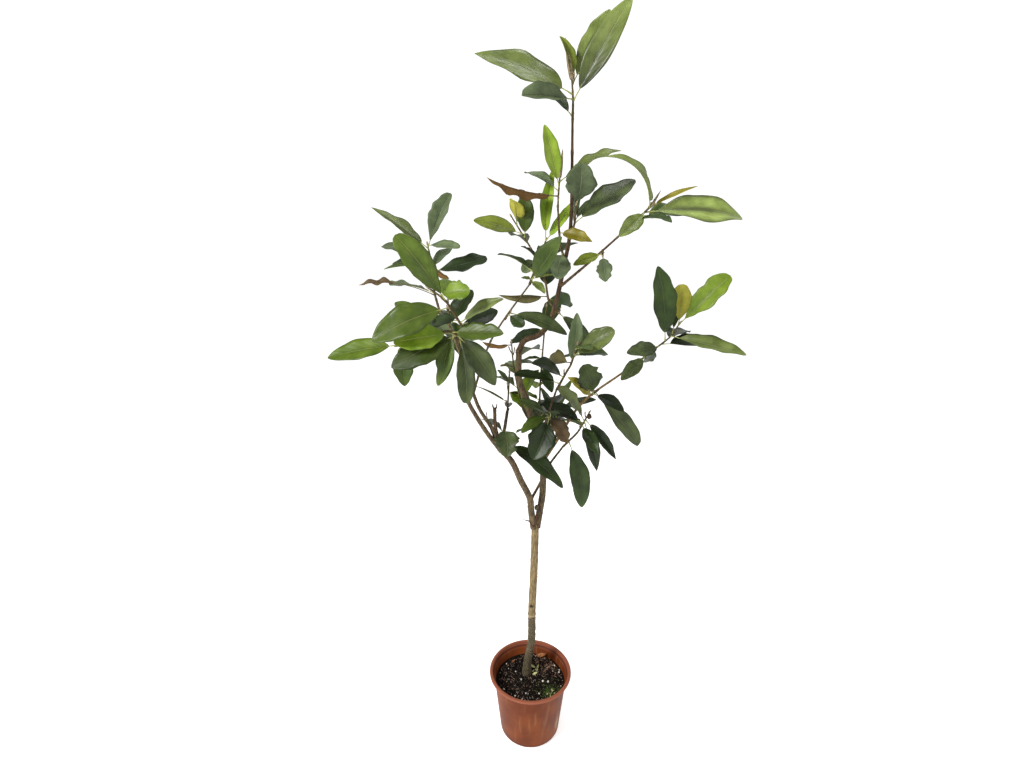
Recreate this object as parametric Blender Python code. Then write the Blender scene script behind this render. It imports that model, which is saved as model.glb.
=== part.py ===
"""Potted standard magnolia: a nursery pot, its potting mix, a bare trunk, boughs and masses of leaves.

Metres, +Z up, the front of the plant towards -Y. The origin is the centre of the pot's underside.
Headings are degrees anticlockwise from +X, so 270 points to the front; rises are degrees above level.
"""
import math
import random

import bpy
import bmesh
from mathutils import Vector
from mathutils.bvhtree import BVHTree
from mathutils.geometry import interpolate_bezier

GAP = 0.0003              # clearance between two solids that touch

POT_HEIGHT = 0.210
POT_RIM_RADIUS = 0.120    # outside of the rolled lip
POT_FLARE_RADIUS = 0.1125 # outside of the wall, where it flares out under the lip
POT_NECK_RADIUS = 0.1060  # outside of the wall, where the flare begins
POT_FOOT_RADIUS = 0.078   # flat underside
POT_HEEL = 0.010          # the foot's bevel, out and up
POT_WALL = 0.002
POT_FLOOR = 0.004
FLARE_DEPTH = 0.0115      # from the rim down to the flare, the step inside the wall, and the neck
LEDGE_DEPTH = 0.019
NECK_DEPTH = 0.022
LIP_DEPTH = 0.008
LIP_WIDTH = 0.009
LIP_ROUND = 0.002         # of its inner edge
LIP_ARC = (-60, -20, 20, 60, 90)
POT_STEPS = 36

SOIL_HEIGHT = 0.175
SOIL_DISH = 0.004         # how far the mix sinks towards the wall
SOIL_PAD_RADIUS = 0.035   # level patch under the trunk
SOIL_SLOPE_RADIUS = 0.070
SOIL_SLOPE_DROP = 0.0016  # of the surface at that radius
SOIL_CLEARANCE = 0.0006   # to the wall, level

COLLAR_REACH = 0.018      # how far a limb's swollen foot reaches up it
STEM_FOOT_RADIUS = 0.0030
STEM_TIP_RADIUS = 0.0017
STEM_SIDES = 4
STALK_RADIUS = 0.0012
LEAF_THICKNESS = 0.012    # of the leaf's length
LEAF_FOLD = 0.14          # how far a blade's margins stand above its midrib, of its half width
LEAF_CLEARANCE = 0.0006   # kept between the leaves of two masses
LEAF_TIP = 0.0003         # half width of the point
BLADE_STATIONS = (0.0, 0.2, 0.48, 0.8, 1.0)
BLADE_LEAN = 0.85         # under 1, a blade is widest below its middle
BLADE_FULLNESS = 0.8      # under 1, its sides are rounder than a sine
NUDGES = 14               # tries at turning a leaf clear of its neighbours
NUDGE_STEP = 3.0          # degrees added by each try
GOLDEN_SHARE = 0.618      # of the fan between one dealt leaf and the next
FAN = 120                 # degrees over which dealt leaves spread
SWAY = 8                  # degrees by which chance turns a dealt leaf
DEALT_RISES = (-25, 40)
DEALT_LENGTHS = (11, 16)
DEALT_FACES = (-30, 10)
DEALT_KINDS = ("dark", "dark", "fresh", "grey")

# Width and stalk as parts of the length, and the bend of the blade in degrees
LEAF_KINDS = {
    "young": (0.35, 0.14, 14),
    "fresh": (0.34, 0.12, 18),
    "long": (0.28, 0.13, 16),
    "dark": (0.38, 0.13, 22),
    "broad": (0.56, 0.14, 24),
    "grey": (0.42, 0.14, 28),
    "slim": (0.20, 0.14, 12),
    "arch": (0.34, 0.10, 80),
    "ochre": (0.32, 0.14, 16),
    "rust": (0.30, 0.12, 24),
    "dead": (0.40, 0.16, 60),
    "shrivelled": (0.16, 0.55, 30),
    "bud": (0.14, 0.10, 4),
}

# Each limb: radius at foot and tip, swelling of the foot, sides, and the points that it runs through
LIMBS = {
    "trunk": (0.0114, 0.0102, 0.0034, 10, (
        (-0.010, 0.020, SOIL_HEIGHT + GAP), (-0.007, 0.020, 0.225), (0.003, 0.015, 0.305),
        (0.003, 0.010, 0.415), (0.007, 0.010, 0.550), (0.009, 0.008, 0.700))),
    "left_bough": (0.0092, 0.0070, 0.0010, 8, (
        (0.005, 0.006, 0.690), (-0.003, 0.000, 0.745), (-0.008, -0.010, 0.790), (-0.031, -0.030, 0.850),
        (-0.055, -0.050, 0.915), (-0.085, -0.070, 0.960))),
    "right_bough": (0.0092, 0.0074, 0.0010, 8, (
        (0.013, 0.008, 0.690), (0.022, 0.015, 0.745), (0.028, 0.020, 0.800), (0.025, 0.020, 0.900),
        (0.003, 0.020, 0.975), (-0.018, 0.025, 1.050), (-0.036, 0.030, 1.105), (-0.037, 0.030, 1.180))),
    "leader": (0.0070, 0.0026, 0.0008, 8, (
        (-0.039, 0.030, 1.170), (-0.024, 0.030, 1.202), (0.012, 0.030, 1.217), (0.035, 0.030, 1.245),
        (0.050, 0.030, 1.290), (0.067, 0.028, 1.380), (0.080, 0.020, 1.480), (0.076, 0.010, 1.690))),
    "left_front_bough": (0.0060, 0.0032, 0.0006, 6, (
        (-0.084, -0.069, 0.958), (-0.110, -0.090, 1.005), (-0.135, -0.105, 1.055), (-0.155, -0.120, 1.105),
        (-0.165, -0.150, 1.175), (-0.160, -0.175, 1.230), (-0.155, -0.180, 1.285))),
    "left_back_bough": (0.0052, 0.0026, 0.0006, 6, (
        (-0.081, -0.067, 0.954), (-0.100, -0.052, 1.000), (-0.130, -0.030, 1.040), (-0.150, -0.005, 1.080),
        (-0.200, 0.045, 1.215), (-0.235, 0.060, 1.280))),
    "pruned_stub": (0.0046, 0.0040, 0.0006, 6, (
        (-0.074, -0.063, 0.948), (-0.092, -0.076, 1.010), (-0.095, -0.080, 1.068))),
    "right_long_bough": (0.0042, 0.0024, 0.0008, 6, (
        (0.026, 0.020, 0.878), (0.060, 0.030, 0.930), (0.130, 0.080, 1.020), (0.235, 0.125, 1.085),
        (0.290, 0.140, 1.120))),
    "low_right_bough": (0.0038, 0.0026, 0.0008, 6, (
        (-0.006, -0.006, 0.778), (0.018, 0.044, 0.795), (0.045, 0.055, 0.850), (0.080, 0.045, 0.910))),
    "centre_bough": (0.0034, 0.0022, 0.0006, 6, (
        (0.012, 0.020, 0.945), (0.030, -0.020, 1.010), (0.040, -0.050, 1.065), (0.050, -0.070, 1.110))),
    "rear_bough": (0.0040, 0.0026, 0.0008, 6, (
        (0.027, 0.020, 0.850), (0.040, 0.070, 0.875), (0.055, 0.140, 0.910))),
    "middle_bough": (0.0028, 0.0018, 0.0005, 5, (
        (-0.149, -0.006, 1.078), (-0.115, -0.020, 1.190), (-0.080, -0.040, 1.260), (-0.015, -0.060, 1.355))),
    "upper_right_bough": (0.0034, 0.0020, 0.0006, 6, (
        (0.060, 0.029, 1.335), (0.125, -0.010, 1.400), (0.205, -0.060, 1.485))),
}

# Each mass: the points of its stem, its leaves as (place along the stem, heading, rise,
# length in centimetres, way the upper face looks, kind), and how many more a seeded rule adds
# about a heading. A leaf's face looks up at 0, to the front at 90 and down at 180.
MASSES = {
    "top_leaves": (((0.076, 0.010, 1.690), (0.075, 0.005, 1.735), (0.070, 0.000, 1.780)), (
        (0.45, 350, 60, 22, 50, "long"), (0.80, 25, 60, 17, 40, "long"), (0.60, 180, 21, 22, 42, "fresh"),
        (0.85, 180, 72, 9, 30, "young"), (0.92, 160, 78, 8, 0, "bud"), (0.50, 205, 2, 12, 60, "grey"),
        (0.12, 155, 40, 13, 20, "dark")), 0, 90),
    "leader_left_leaves": (((0.070, 0.026, 1.392), (0.055, 0.000, 1.445), (0.048, -0.008, 1.520),
                            (0.050, -0.010, 1.580)), (
        (0.90, 180, 75, 13, 50, "long"), (1.00, 0, 85, 6, 0, "bud"), (0.80, 165, 13, 17, 200, "rust"),
        (0.85, 130, 22, 12, 25, "grey"), (0.95, 5, 28, 15, 20, "fresh"), (0.40, 335, -12, 8, 60, "rust"),
        (0.14, 260, -20, 12, 60, "grey")), 0, 90),
    "leader_right_leaves": (((0.079, 0.021, 1.465), (0.087, 0.012, 1.478), (0.090, 0.010, 1.520)), (
        (0.35, 20, 33, 18, 22, "dark"), (0.45, 60, 20, 15, 10, "fresh"),
        (1.00, 275, 62, 10, 80, "broad")), 1, 60),
    "upper_right_leaves": (((0.205, -0.060, 1.485), (0.225, -0.080, 1.510), (0.235, -0.085, 1.520)), (
        (0.95, 210, 40, 16, 30, "arch"), (1.00, 0, 60, 4, 0, "bud"), (1.00, 345, 25, 10, 35, "ochre"),
        (0.70, 10, -2, 23, 45, "fresh"), (0.30, 300, 0, 10, 30, "dark"), (0.70, 220, -30, 9, 45, "fresh"),
        (0.45, 30, -4, 19, 20, "dark")), 0, 90),
    "upper_right_inner_leaves": (((0.149, -0.025, 1.426), (0.146, -0.048, 1.418)), (
        (0.95, 300, -75, 6, 60, "broad"), (0.85, 190, -18, 7, 60, "young")), 0, 90),
    "right_tip_leaves": (((0.290, 0.140, 1.120), (0.330, 0.150, 1.150), (0.370, 0.160, 1.180),
                          (0.390, 0.165, 1.210)), (
        (0.60, 150, 80, 20, 45, "fresh"), (1.00, 70, 75, 11, 200, "ochre"), (1.00, 345, 50, 18, 50, "young"),
        (0.75, 345, -10, 20, 25, "fresh"), (0.50, 15, -10, 22, 15, "dark"), (0.45, 215, 0, 12, 40, "dark"),
        (0.35, 100, -40, 10, 190, "rust"), (0.12, 215, -30, 10, 45, "dark"), (0.80, 60, 58, 14, 0, "dark"),
        (0.65, 50, 0, 14, 0, "dark")), 0, 90),
    "right_inner_leaves": (((0.175, 0.101, 1.050), (0.158, 0.078, 1.045)), (
        (0.55, 350, -48, 19, 40, "long"), (0.90, 335, -22, 9, 45, "dark"), (0.95, 235, 58, 11, 60, "broad"),
        (1.00, 215, 36, 11, 40, "ochre"), (0.75, 105, -5, 9, 10, "dark")), 0, 90),
    "low_right_leaves": (((0.080, 0.045, 0.910), (0.095, 0.030, 0.935), (0.115, 0.010, 0.970),
                          (0.135, -0.020, 1.030)), (
        (0.20, 325, -75, 19, 50, "long"), (0.80, 30, -72, 16, 50, "slim"), (0.85, 345, -50, 13, 40, "slim"),
        (0.70, 295, -30, 9, 30, "dark"), (0.80, 215, 50, 14, 30, "grey"),
        (0.75, 165, 20, 12, 20, "dark")), 0, 90),
    "centre_low_leaves": (((0.034, -0.034, 1.035), (0.036, -0.065, 1.038)), (
        (0.90, 235, -50, 11, 60, "broad"), (0.70, 205, -20, 8, 30, "dark"), (0.60, 210, 35, 10, 30, "grey"),
        (0.75, 315, -40, 8, 30, "dead"), (1.00, 260, 30, 12, 40, "dark")), 0, 90),
    "centre_front_leaves": (((0.050, -0.070, 1.110), (0.070, -0.090, 1.160), (0.080, -0.100, 1.185),
                             (0.090, -0.110, 1.230)), (
        (0.65, 125, -10, 9, 45, "grey"), (0.30, 220, 30, 11, 40, "dark"), (0.60, 0, 85, 12, 40, "long"),
        (0.80, 335, 38, 11, 45, "fresh"), (0.80, 30, -5, 10, 20, "dark"), (0.92, 285, 15, 9, 20, "dark"),
        (0.15, 170, 10, 11, 20, "grey")), 0, 90),
    "elbow_leaves": (((0.048, 0.030, 1.277), (0.056, 0.004, 1.278)), (
        (0.90, 320, -38, 13, 30, "long"),), 0, 90),
    "middle_leaves": (((-0.015, -0.060, 1.355), (0.005, 0.000, 1.395), (0.025, 0.045, 1.440)), (
        (0.10, 315, 50, 13, 50, "dark"), (0.14, 340, 12, 6, 0, "slim"), (0.10, 300, -20, 6, 40, "young"),
        (0.12, 140, 5, 3, 30, "young"), (1.00, 50, 80, 17, 30, "slim"),
        (1.00, 20, 50, 12, 30, "ochre")), 2, 110),
    "middle_inner_leaves": (((-0.071, -0.043, 1.272), (-0.060, -0.056, 1.290)), (
        (1.00, 350, -18, 14, 35, "long"), (0.80, 320, -25, 5, 50, "broad")), 0, 90),
    "upper_back_leaves": (((0.050, 0.030, 1.282), (0.035, 0.048, 1.300), (0.025, 0.070, 1.350),
                           (0.000, 0.090, 1.405), (-0.055, 0.130, 1.490)), (
        (0.15, 180, 0, 12, 120, "slim"), (0.80, 165, 15, 13, 40, "young"), (0.76, 180, 88, 11, 40, "dark"),
        (0.90, 265, 45, 9, 40, "ochre"), (0.54, 240, 55, 6, 20, "dark"), (0.52, 230, -25, 6, 60, "broad"),
        (0.12, 40, -10, 8, 50, "broad")), 3, 75),
    "left_low_leaves": (((-0.157, -0.179, 1.262), (-0.185, -0.198, 1.282), (-0.245, -0.170, 1.260),
                         (-0.295, -0.150, 1.240)), (
        (0.18, 195, -6, 12, 55, "young"), (0.10, 198, -22, 15, 55, "fresh"), (0.95, 280, -70, 9, 30, "dark"),
        (1.00, 180, -10, 16, 40, "young"), (0.16, 180, -72, 12, 50, "long"), (0.10, 335, -48, 13, 55, "dark"),
        (0.06, 290, -72, 14, 50, "long"), (0.14, 215, -70, 10, 40, "dark"), (0.20, 335, 5, 12, 50, "young"),
        (0.90, 135, -60, 6, 40, "young")), 1, 130),
    "left_top_leaves": (((-0.155, -0.180, 1.285), (-0.180, -0.200, 1.335), (-0.190, -0.205, 1.350),
                         (-0.215, -0.210, 1.370)), (
        (0.50, 195, -20, 17, 55, "dark"), (0.08, 30, 14, 9, 50, "dark"), (0.12, 340, 32, 11, 35, "long"),
        (0.18, 145, -15, 9, 40, "dark"), (0.80, 335, 12, 7, 60, "broad"),
        (0.65, 200, 55, 16, 55, "fresh")), 0, 90),
    "upper_left_leaves": (((-0.235, 0.060, 1.280), (-0.245, 0.070, 1.320), (-0.250, 0.085, 1.380),
                           (-0.260, 0.100, 1.425)), (
        (0.94, 170, 35, 17, 20, "long"), (0.97, 20, 65, 14, 50, "fresh"), (1.00, 320, 2, 11, 35, "grey"),
        (0.57, 355, 14, 14, 40, "dark"), (0.63, 55, 30, 9, 20, "dark"), (0.74, 160, 15, 14, 20, "dark"),
        (0.69, 210, 5, 10, 20, "dark"), (0.65, 315, -20, 7, 190, "rust"),
        (0.19, 180, 10, 19, 20, "shrivelled")), 3, 145),
    "left_rear_leaves": (((-0.170, 0.015, 1.135), (-0.190, 0.080, 1.180), (-0.215, 0.140, 1.220),
                          (-0.225, 0.190, 1.270)), (
        (1.00, 100, 25, 12, 0, "fresh"),), 9, 90),
    "inner_left_leaves": (((-0.068, -0.058, 0.936), (-0.072, -0.066, 1.000), (-0.065, -0.055, 1.055),
                           (-0.060, -0.050, 1.145)), (
        (0.18, 345, -35, 18, 25, "long"), (0.36, 275, -35, 8, 60, "broad"), (0.66, 155, 20, 9, 0, "slim"),
        (0.88, 130, 30, 5, 30, "fresh")), 2, 120),
    "back_leaves": (((0.021, 0.020, 0.910), (0.018, 0.060, 0.985), (0.020, 0.090, 1.060),
                     (0.025, 0.110, 1.135), (0.035, 0.130, 1.265)), (
        (0.59, 295, -40, 8, 40, "dark"), (0.52, 220, 20, 8, 10, "slim"), (0.65, 210, 5, 6, 10, "slim"),
        (0.86, 195, -20, 10, 35, "dark")), 7, 90),
    "back_left_leaves": (((-0.004, 0.022, 0.990), (-0.020, 0.045, 1.005), (-0.035, 0.060, 1.050),
                          (-0.050, 0.070, 1.130), (-0.055, 0.080, 1.180)), (
        (0.73, 225, 15, 5, 20, "dark"), (1.00, 150, -5, 9, 190, "rust")), 5, 90),
    "rear_leaves": (((0.055, 0.140, 0.910), (0.070, 0.190, 0.925), (0.085, 0.220, 0.945)), (
        (1.00, 20, 10, 12, 30, "dark"),), 7, 90),
}


def material(name, colour, roughness):
    """A Principled material of one colour."""
    made = bpy.data.materials.new(name)
    made.use_nodes = True
    shader = made.node_tree.nodes["Principled BSDF"]
    shader.inputs["Base Color"].default_value = (*colour, 1.0)
    shader.inputs["Roughness"].default_value = roughness
    shader.inputs["Metallic"].default_value = 0.0
    made.diffuse_color = (*colour, 1.0)
    return made


def add_object(name, bm, finish, origin, parent=None):
    """Turn a bmesh into an object whose origin is at the given point, shaded smooth but for its edges."""
    bmesh.ops.recalc_face_normals(bm, faces=bm.faces)
    bmesh.ops.translate(bm, verts=bm.verts, vec=-Vector(origin))
    mesh = bpy.data.meshes.new(name)
    bm.to_mesh(mesh)
    bm.free()
    mesh.shade_smooth()
    mesh.set_sharp_from_angle(angle=math.radians(40))
    if finish:
        mesh.materials.append(finish)
    made = bpy.data.objects.new(name, mesh)
    made.location = origin
    made.parent = parent
    bpy.context.scene.collection.objects.link(made)
    return made


def outer_shell(mesh):
    """Drop the loose scraps and sealed hollows of a joined mesh, and say whether the rest is closed."""
    bm = bmesh.new()
    bm.from_mesh(mesh)
    left, shells = set(bm.verts), []
    while left:
        shell, edge = set(), [left.pop()]
        while edge:
            vert = edge.pop()
            shell.add(vert)
            near = {link.other_vert(vert) for link in vert.link_edges} & left
            left -= near
            edge.extend(near)
        shells.append(shell)
    largest = max(shells, key=len)
    loose = [vert for shell in shells if shell is not largest for vert in shell]
    bmesh.ops.delete(bm, geom=loose, context="VERTS")
    closed = all(len(edge.link_faces) == 2 for edge in bm.edges)
    bm.to_mesh(mesh)
    bm.free()
    return closed


def boolean(target, operation, tools):
    """Join tool objects to the target, or cut them from it, and remove them."""
    group = bpy.data.collections.new("tools")
    for tool in tools:
        group.objects.link(tool)
    modifier = target.modifiers.new("boolean", "BOOLEAN")
    modifier.operation = operation
    modifier.operand_type = "COLLECTION"
    modifier.collection = group
    for solver in ("EXACT", "MANIFOLD"):
        modifier.solver = solver
        depsgraph = bpy.context.evaluated_depsgraph_get()
        result = bpy.data.meshes.new_from_object(target.evaluated_get(depsgraph))
        if outer_shell(result):
            break
    else:
        print(target.name, "did not close")
    target.modifiers.remove(modifier)
    old, result.name = target.data, target.data.name
    target.data = result
    bpy.data.meshes.remove(old)
    for tool in tools:
        bpy.data.objects.remove(tool)
    bpy.data.collections.remove(group)


def loft(rings):
    """Skin a row of rings of points into one closed solid."""
    bm = bmesh.new()
    loops = [[bm.verts.new(point) for point in ring] for ring in rings]
    count = len(loops[0])
    for low, high in zip(loops, loops[1:]):
        for i in range(count):
            j = (i + 1) % count
            bm.faces.new((low[i], low[j], high[j], high[i]))
    bm.faces.new(reversed(loops[0]))
    bm.faces.new(loops[-1])
    return bm


def smooth_path(points, steps):
    """A smooth curve through the points, with a number of steps between each pair."""
    points = [Vector(point) for point in points]
    ends = [points[0] * 2 - points[1]] + points + [points[-1] * 2 - points[-2]]
    path = [points[0]]
    for before, start, stop, after in zip(ends, ends[1:], ends[2:], ends[3:]):
        leave = start + (stop - before) / 6
        arrive = stop - (after - start) / 6
        path.extend(interpolate_bezier(start, leave, arrive, stop, steps + 1)[1:])
    return path


def path_lengths(path):
    """The distance along the path at each of its points."""
    lengths = [0.0]
    for start, stop in zip(path, path[1:]):
        lengths.append(lengths[-1] + (stop - start).length)
    return lengths


def point_along(path, share):
    """The point at a share of the path's length."""
    lengths = path_lengths(path)
    wanted = share * lengths[-1]
    for start, stop, low, high in zip(path, path[1:], lengths, lengths[1:]):
        if wanted <= high:
            return start.lerp(stop, (wanted - low) / (high - low))
    return path[-1]


def limb_radii(path, foot, tip, swelling):
    """An even taper with a swollen foot."""
    lengths = path_lengths(path)
    return [foot + (tip - foot) * d / lengths[-1] + swelling * math.exp(-d / COLLAR_REACH) for d in lengths]


def tube_rings(path, radii, sides, level_foot=False):
    """Round sections square to the path, turned as little as they can be from one to the next."""
    ways = [(after - before).normalized() for before, after in
            zip([path[0]] + path[:-1], path[1:] + [path[-1]])]
    if level_foot:
        ways[0] = Vector((0, 0, 1))
    across = ways[0].orthogonal().normalized()
    rings, last = [], ways[0]
    for centre, radius, way in zip(path, radii, ways):
        across.rotate(last.rotation_difference(way))
        last = way
        over = way.cross(across)
        turns = [2 * math.pi * k / sides for k in range(sides)]
        rings.append([centre + (across * math.cos(a) + over * math.sin(a)) * radius for a in turns])
    return rings


def fat_copy(path, radii, sides):
    """A limb grown by the clearance all round and past both ends, to cut its neighbours with."""
    flat = math.cos(math.pi / sides)
    radii = [radius + GAP / flat for radius in radii]
    path = list(path)
    path[0] = path[0] + (path[0] - path[1]).normalized() * GAP
    path[-1] = path[-1] + (path[-1] - path[-2]).normalized() * GAP
    return tube_rings(path, radii, sides)


def cut_clear(target, tree, origin, limbs):
    """Cut from a limb or stem what the limbs before it need to stay clear."""
    cutters = [add_object("cutter", loft(rings), None, origin) for limb_tree, rings in limbs
               if tree.overlap(limb_tree)]
    if cutters:
        boolean(target, "DIFFERENCE", cutters)


def direction(heading, rise):
    """The unit vector of a heading and a rise in degrees."""
    turn, lift = math.radians(heading), math.radians(rise)
    return Vector((math.cos(turn) * math.cos(lift), math.sin(turn) * math.cos(lift), math.sin(lift)))


def leaf_rings(root, heading, rise, length, face, kind, spare=0.0):
    """Sections of a leaf from its stalk to its tip: a thin diamond, folded along the midrib.

    The midrib is an arc whose chord has the heading and the rise, arched towards the upper face.
    """
    ratio, stalk, bend = LEAF_KINDS[kind]
    axis = direction(heading, rise)
    tilt = math.radians(face)
    look = Vector((0, -math.sin(tilt), math.cos(tilt)))
    normal = (look - axis * look.dot(axis)).normalized()
    side = axis.cross(normal)
    bend = math.radians(bend)
    radius = 0.5 * length / math.sin(bend / 2)
    rings = []
    for share in [0.0] + [stalk + (1 - stalk) * t for t in BLADE_STATIONS]:
        turn = (share - 0.5) * bend
        centre = (root + axis * (length / 2 + radius * math.sin(turn))
                  + normal * radius * (math.cos(turn) - math.cos(bend / 2)))
        up = normal * math.cos(turn) + axis * math.sin(turn)
        blade = max(0.0, (share - stalk) / (1 - stalk))
        half = STALK_RADIUS + ratio * length / 2 * math.sin(math.pi * blade ** BLADE_LEAN) ** BLADE_FULLNESS
        if share == 1.0:
            half = LEAF_TIP
        thick = max(STALK_RADIUS, LEAF_THICKNESS * length / 2)
        if share in (0.0, 1.0):
            thick = min(half, STALK_RADIUS)
        lift = up * (half - STALK_RADIUS) * LEAF_FOLD
        half += spare
        thick += spare
        rings.append([centre + side * half + lift, centre + up * thick,
                      centre - side * half + lift, centre - up * thick])
    return rings


def dealt_leaves(count, heading, dice):
    """Leaves that a seeded rule deals round a heading, spread along a stem."""
    for k in range(count):
        swing = (((k + 1) * GOLDEN_SHARE) % 1 - 0.5) * FAN
        yield ((k + 1) / (count + 1.5), heading + swing + dice.uniform(-SWAY, SWAY),
               dice.uniform(*DEALT_RISES), dice.uniform(*DEALT_LENGTHS), dice.uniform(*DEALT_FACES),
               dice.choice(DEALT_KINDS))


def grow_mass(name, seed, limbs, others):
    """A stem with its leaves: rings of every solid, each leaf nudged clear of limbs and other masses.

    A leaf that stays in the way of a limb or of another mass after the last nudge is skipped.
    """
    points, leaves, extra, heading = MASSES[name]
    dice = random.Random(seed)
    path = smooth_path(points, 2)
    radii = limb_radii(path, STEM_FOOT_RADIUS, STEM_TIP_RADIUS, 0.0)
    stem = tube_rings(path, radii, STEM_SIDES)
    grown = []
    for place, heading, rise, size, face, kind in list(leaves) + list(dealt_leaves(extra, heading, dice)):
        root = point_along(path, min(place, 0.995))
        for nudge in range(NUDGES):
            reach = nudge * NUDGE_STEP
            turn, lift = dice.uniform(-reach, reach), dice.uniform(-reach, reach)
            leaf = (root, heading + turn, rise + lift, size / 100, face, kind)
            bm = loft(leaf_rings(*leaf, spare=LEAF_CLEARANCE))
            tree = BVHTree.FromBMesh(bm)
            bm.free()
            if not any(tree.overlap(other) for other in limbs + others):
                grown.append(leaf_rings(*leaf))
                break
        else:
            print("skipped a leaf of", name, "at", place, heading, rise)
    return stem, grown


def ring_tree(rings):
    """A search tree of the solid over the rings."""
    bm = loft(rings)
    tree = BVHTree.FromBMesh(bm)
    bm.free()
    return tree


def inner_radius(height):
    """The pot's inner wall at a height below its ledge, bevelled in its heel as it is outside."""
    heel_radius = POT_FOOT_RADIUS + POT_HEEL - POT_WALL
    if height < POT_HEEL:
        return heel_radius - (POT_HEEL - height)
    slope = (POT_NECK_RADIUS - POT_FOOT_RADIUS - POT_HEEL) / (POT_HEIGHT - NECK_DEPTH - POT_HEEL)
    return heel_radius + slope * (height - POT_HEEL)


def turned(profile, steps):
    """A profile of radius and height turned about the upright axis."""
    bm = bmesh.new()
    verts = [bm.verts.new((radius, 0, height)) for radius, height in profile]
    edges = [bm.edges.new(pair) for pair in zip(verts, verts[1:])]
    bmesh.ops.spin(bm, geom=verts + edges, axis=(0, 0, 1), cent=(0, 0, 0), angle=2 * math.pi,
                   steps=steps, use_merge=True)
    bmesh.ops.remove_doubles(bm, verts=bm.verts, dist=0.0001)
    return bm


def build_pot(finish, parent):
    """A tapered nursery pot with a flat foot, a flared neck, a rolled lip and a step inside it."""
    lip_radius = LIP_DEPTH / 2
    lip_centre = POT_RIM_RADIUS - lip_radius
    top = POT_HEIGHT - lip_radius
    lip = [(lip_centre + lip_radius * math.cos(math.radians(a)), top + lip_radius * math.sin(math.radians(a)))
           for a in LIP_ARC]
    mouth = POT_RIM_RADIUS - LIP_WIDTH
    flare = POT_HEIGHT - FLARE_DEPTH
    ledge = POT_HEIGHT - LEDGE_DEPTH
    widening = (POT_FLARE_RADIUS - POT_NECK_RADIUS) / (NECK_DEPTH - FLARE_DEPTH)
    ledge_radius = POT_NECK_RADIUS + widening * (NECK_DEPTH - LEDGE_DEPTH) - POT_WALL
    profile = [(0, 0), (POT_FOOT_RADIUS, 0), (POT_FOOT_RADIUS + POT_HEEL, POT_HEEL),
               (POT_NECK_RADIUS, POT_HEIGHT - NECK_DEPTH), (POT_FLARE_RADIUS, flare)] + lip + [
               (mouth + LIP_ROUND, POT_HEIGHT), (mouth, POT_HEIGHT - LIP_ROUND),
               (POT_FLARE_RADIUS - POT_WALL, flare), (ledge_radius, ledge), (inner_radius(ledge), ledge),
               (inner_radius(POT_HEEL), POT_HEEL), (inner_radius(POT_FLOOR), POT_FLOOR), (0, POT_FLOOR)]
    return add_object("pot", turned(profile, POT_STEPS), finish, (0, 0, 0), parent)


def build_soil(finish, parent):
    """The potting mix that fills the pot to a few centimetres under its rim."""
    low = POT_FLOOR + GAP
    wall = SOIL_HEIGHT - SOIL_DISH
    profile = [(0, low), (inner_radius(low) - SOIL_CLEARANCE, low),
               (inner_radius(POT_HEEL) - SOIL_CLEARANCE, POT_HEEL), (inner_radius(wall) - SOIL_CLEARANCE, wall),
               (SOIL_SLOPE_RADIUS, SOIL_HEIGHT - SOIL_SLOPE_DROP), (SOIL_PAD_RADIUS, SOIL_HEIGHT),
               (0, SOIL_HEIGHT)]
    return add_object("soil", turned(profile, POT_STEPS), finish, (0, 0, low), parent)


def build_limbs(finish, parent):
    """The trunk and boughs in growing order, each cut clear of those before it."""
    made = []
    for name, (foot, tip, swelling, sides, points) in LIMBS.items():
        path = smooth_path(points, 2)
        radii = limb_radii(path, foot, tip, swelling)
        rings = tube_rings(path, radii, sides, level_foot=name == "trunk")
        limb = add_object(name, loft(rings), finish, points[0], parent)
        tree = ring_tree(rings)
        cut_clear(limb, tree, points[0], made)
        fat = fat_copy(path, radii, sides)
        made.append((ring_tree(fat), fat))
    return made


def build_masses(finish, parent, limbs):
    """The masses of foliage, each one solid."""
    others = []
    limb_trees = [tree for tree, rings in limbs]
    for seed, name in enumerate(MASSES):
        stem, leaves = grow_mass(name, seed, limb_trees, others)
        origin = MASSES[name][0][0]
        mass = add_object(name, loft(stem), finish, origin, parent)
        stem_tree = ring_tree(stem)
        cut_clear(mass, stem_tree, origin, limbs)
        tools = [add_object("leaf", loft(rings), finish, origin) for rings in leaves]
        boolean(mass, "UNION", tools)
        others += [stem_tree] + [ring_tree(rings) for rings in leaves]


for old_object in list(bpy.data.objects):
    bpy.data.objects.remove(old_object)

plant = bpy.data.objects.new("potted_magnolia", None)
bpy.context.scene.collection.objects.link(plant)
bark = material("bark", (0.24, 0.19, 0.12), 0.85)
foliage = material("leaf", (0.05, 0.13, 0.03), 0.35)
build_pot(material("terracotta plastic", (0.55, 0.17, 0.06), 0.45), plant)
build_soil(material("potting mix", (0.04, 0.03, 0.02), 0.95), plant)
build_masses(foliage, plant, build_limbs(bark, plant))
bpy.context.view_layer.update()
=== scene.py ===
import math
import random

import bmesh
import bpy
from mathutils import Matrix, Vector, noise
from mathutils.bvhtree import BVHTree
from mathutils.geometry import interpolate_bezier


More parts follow.
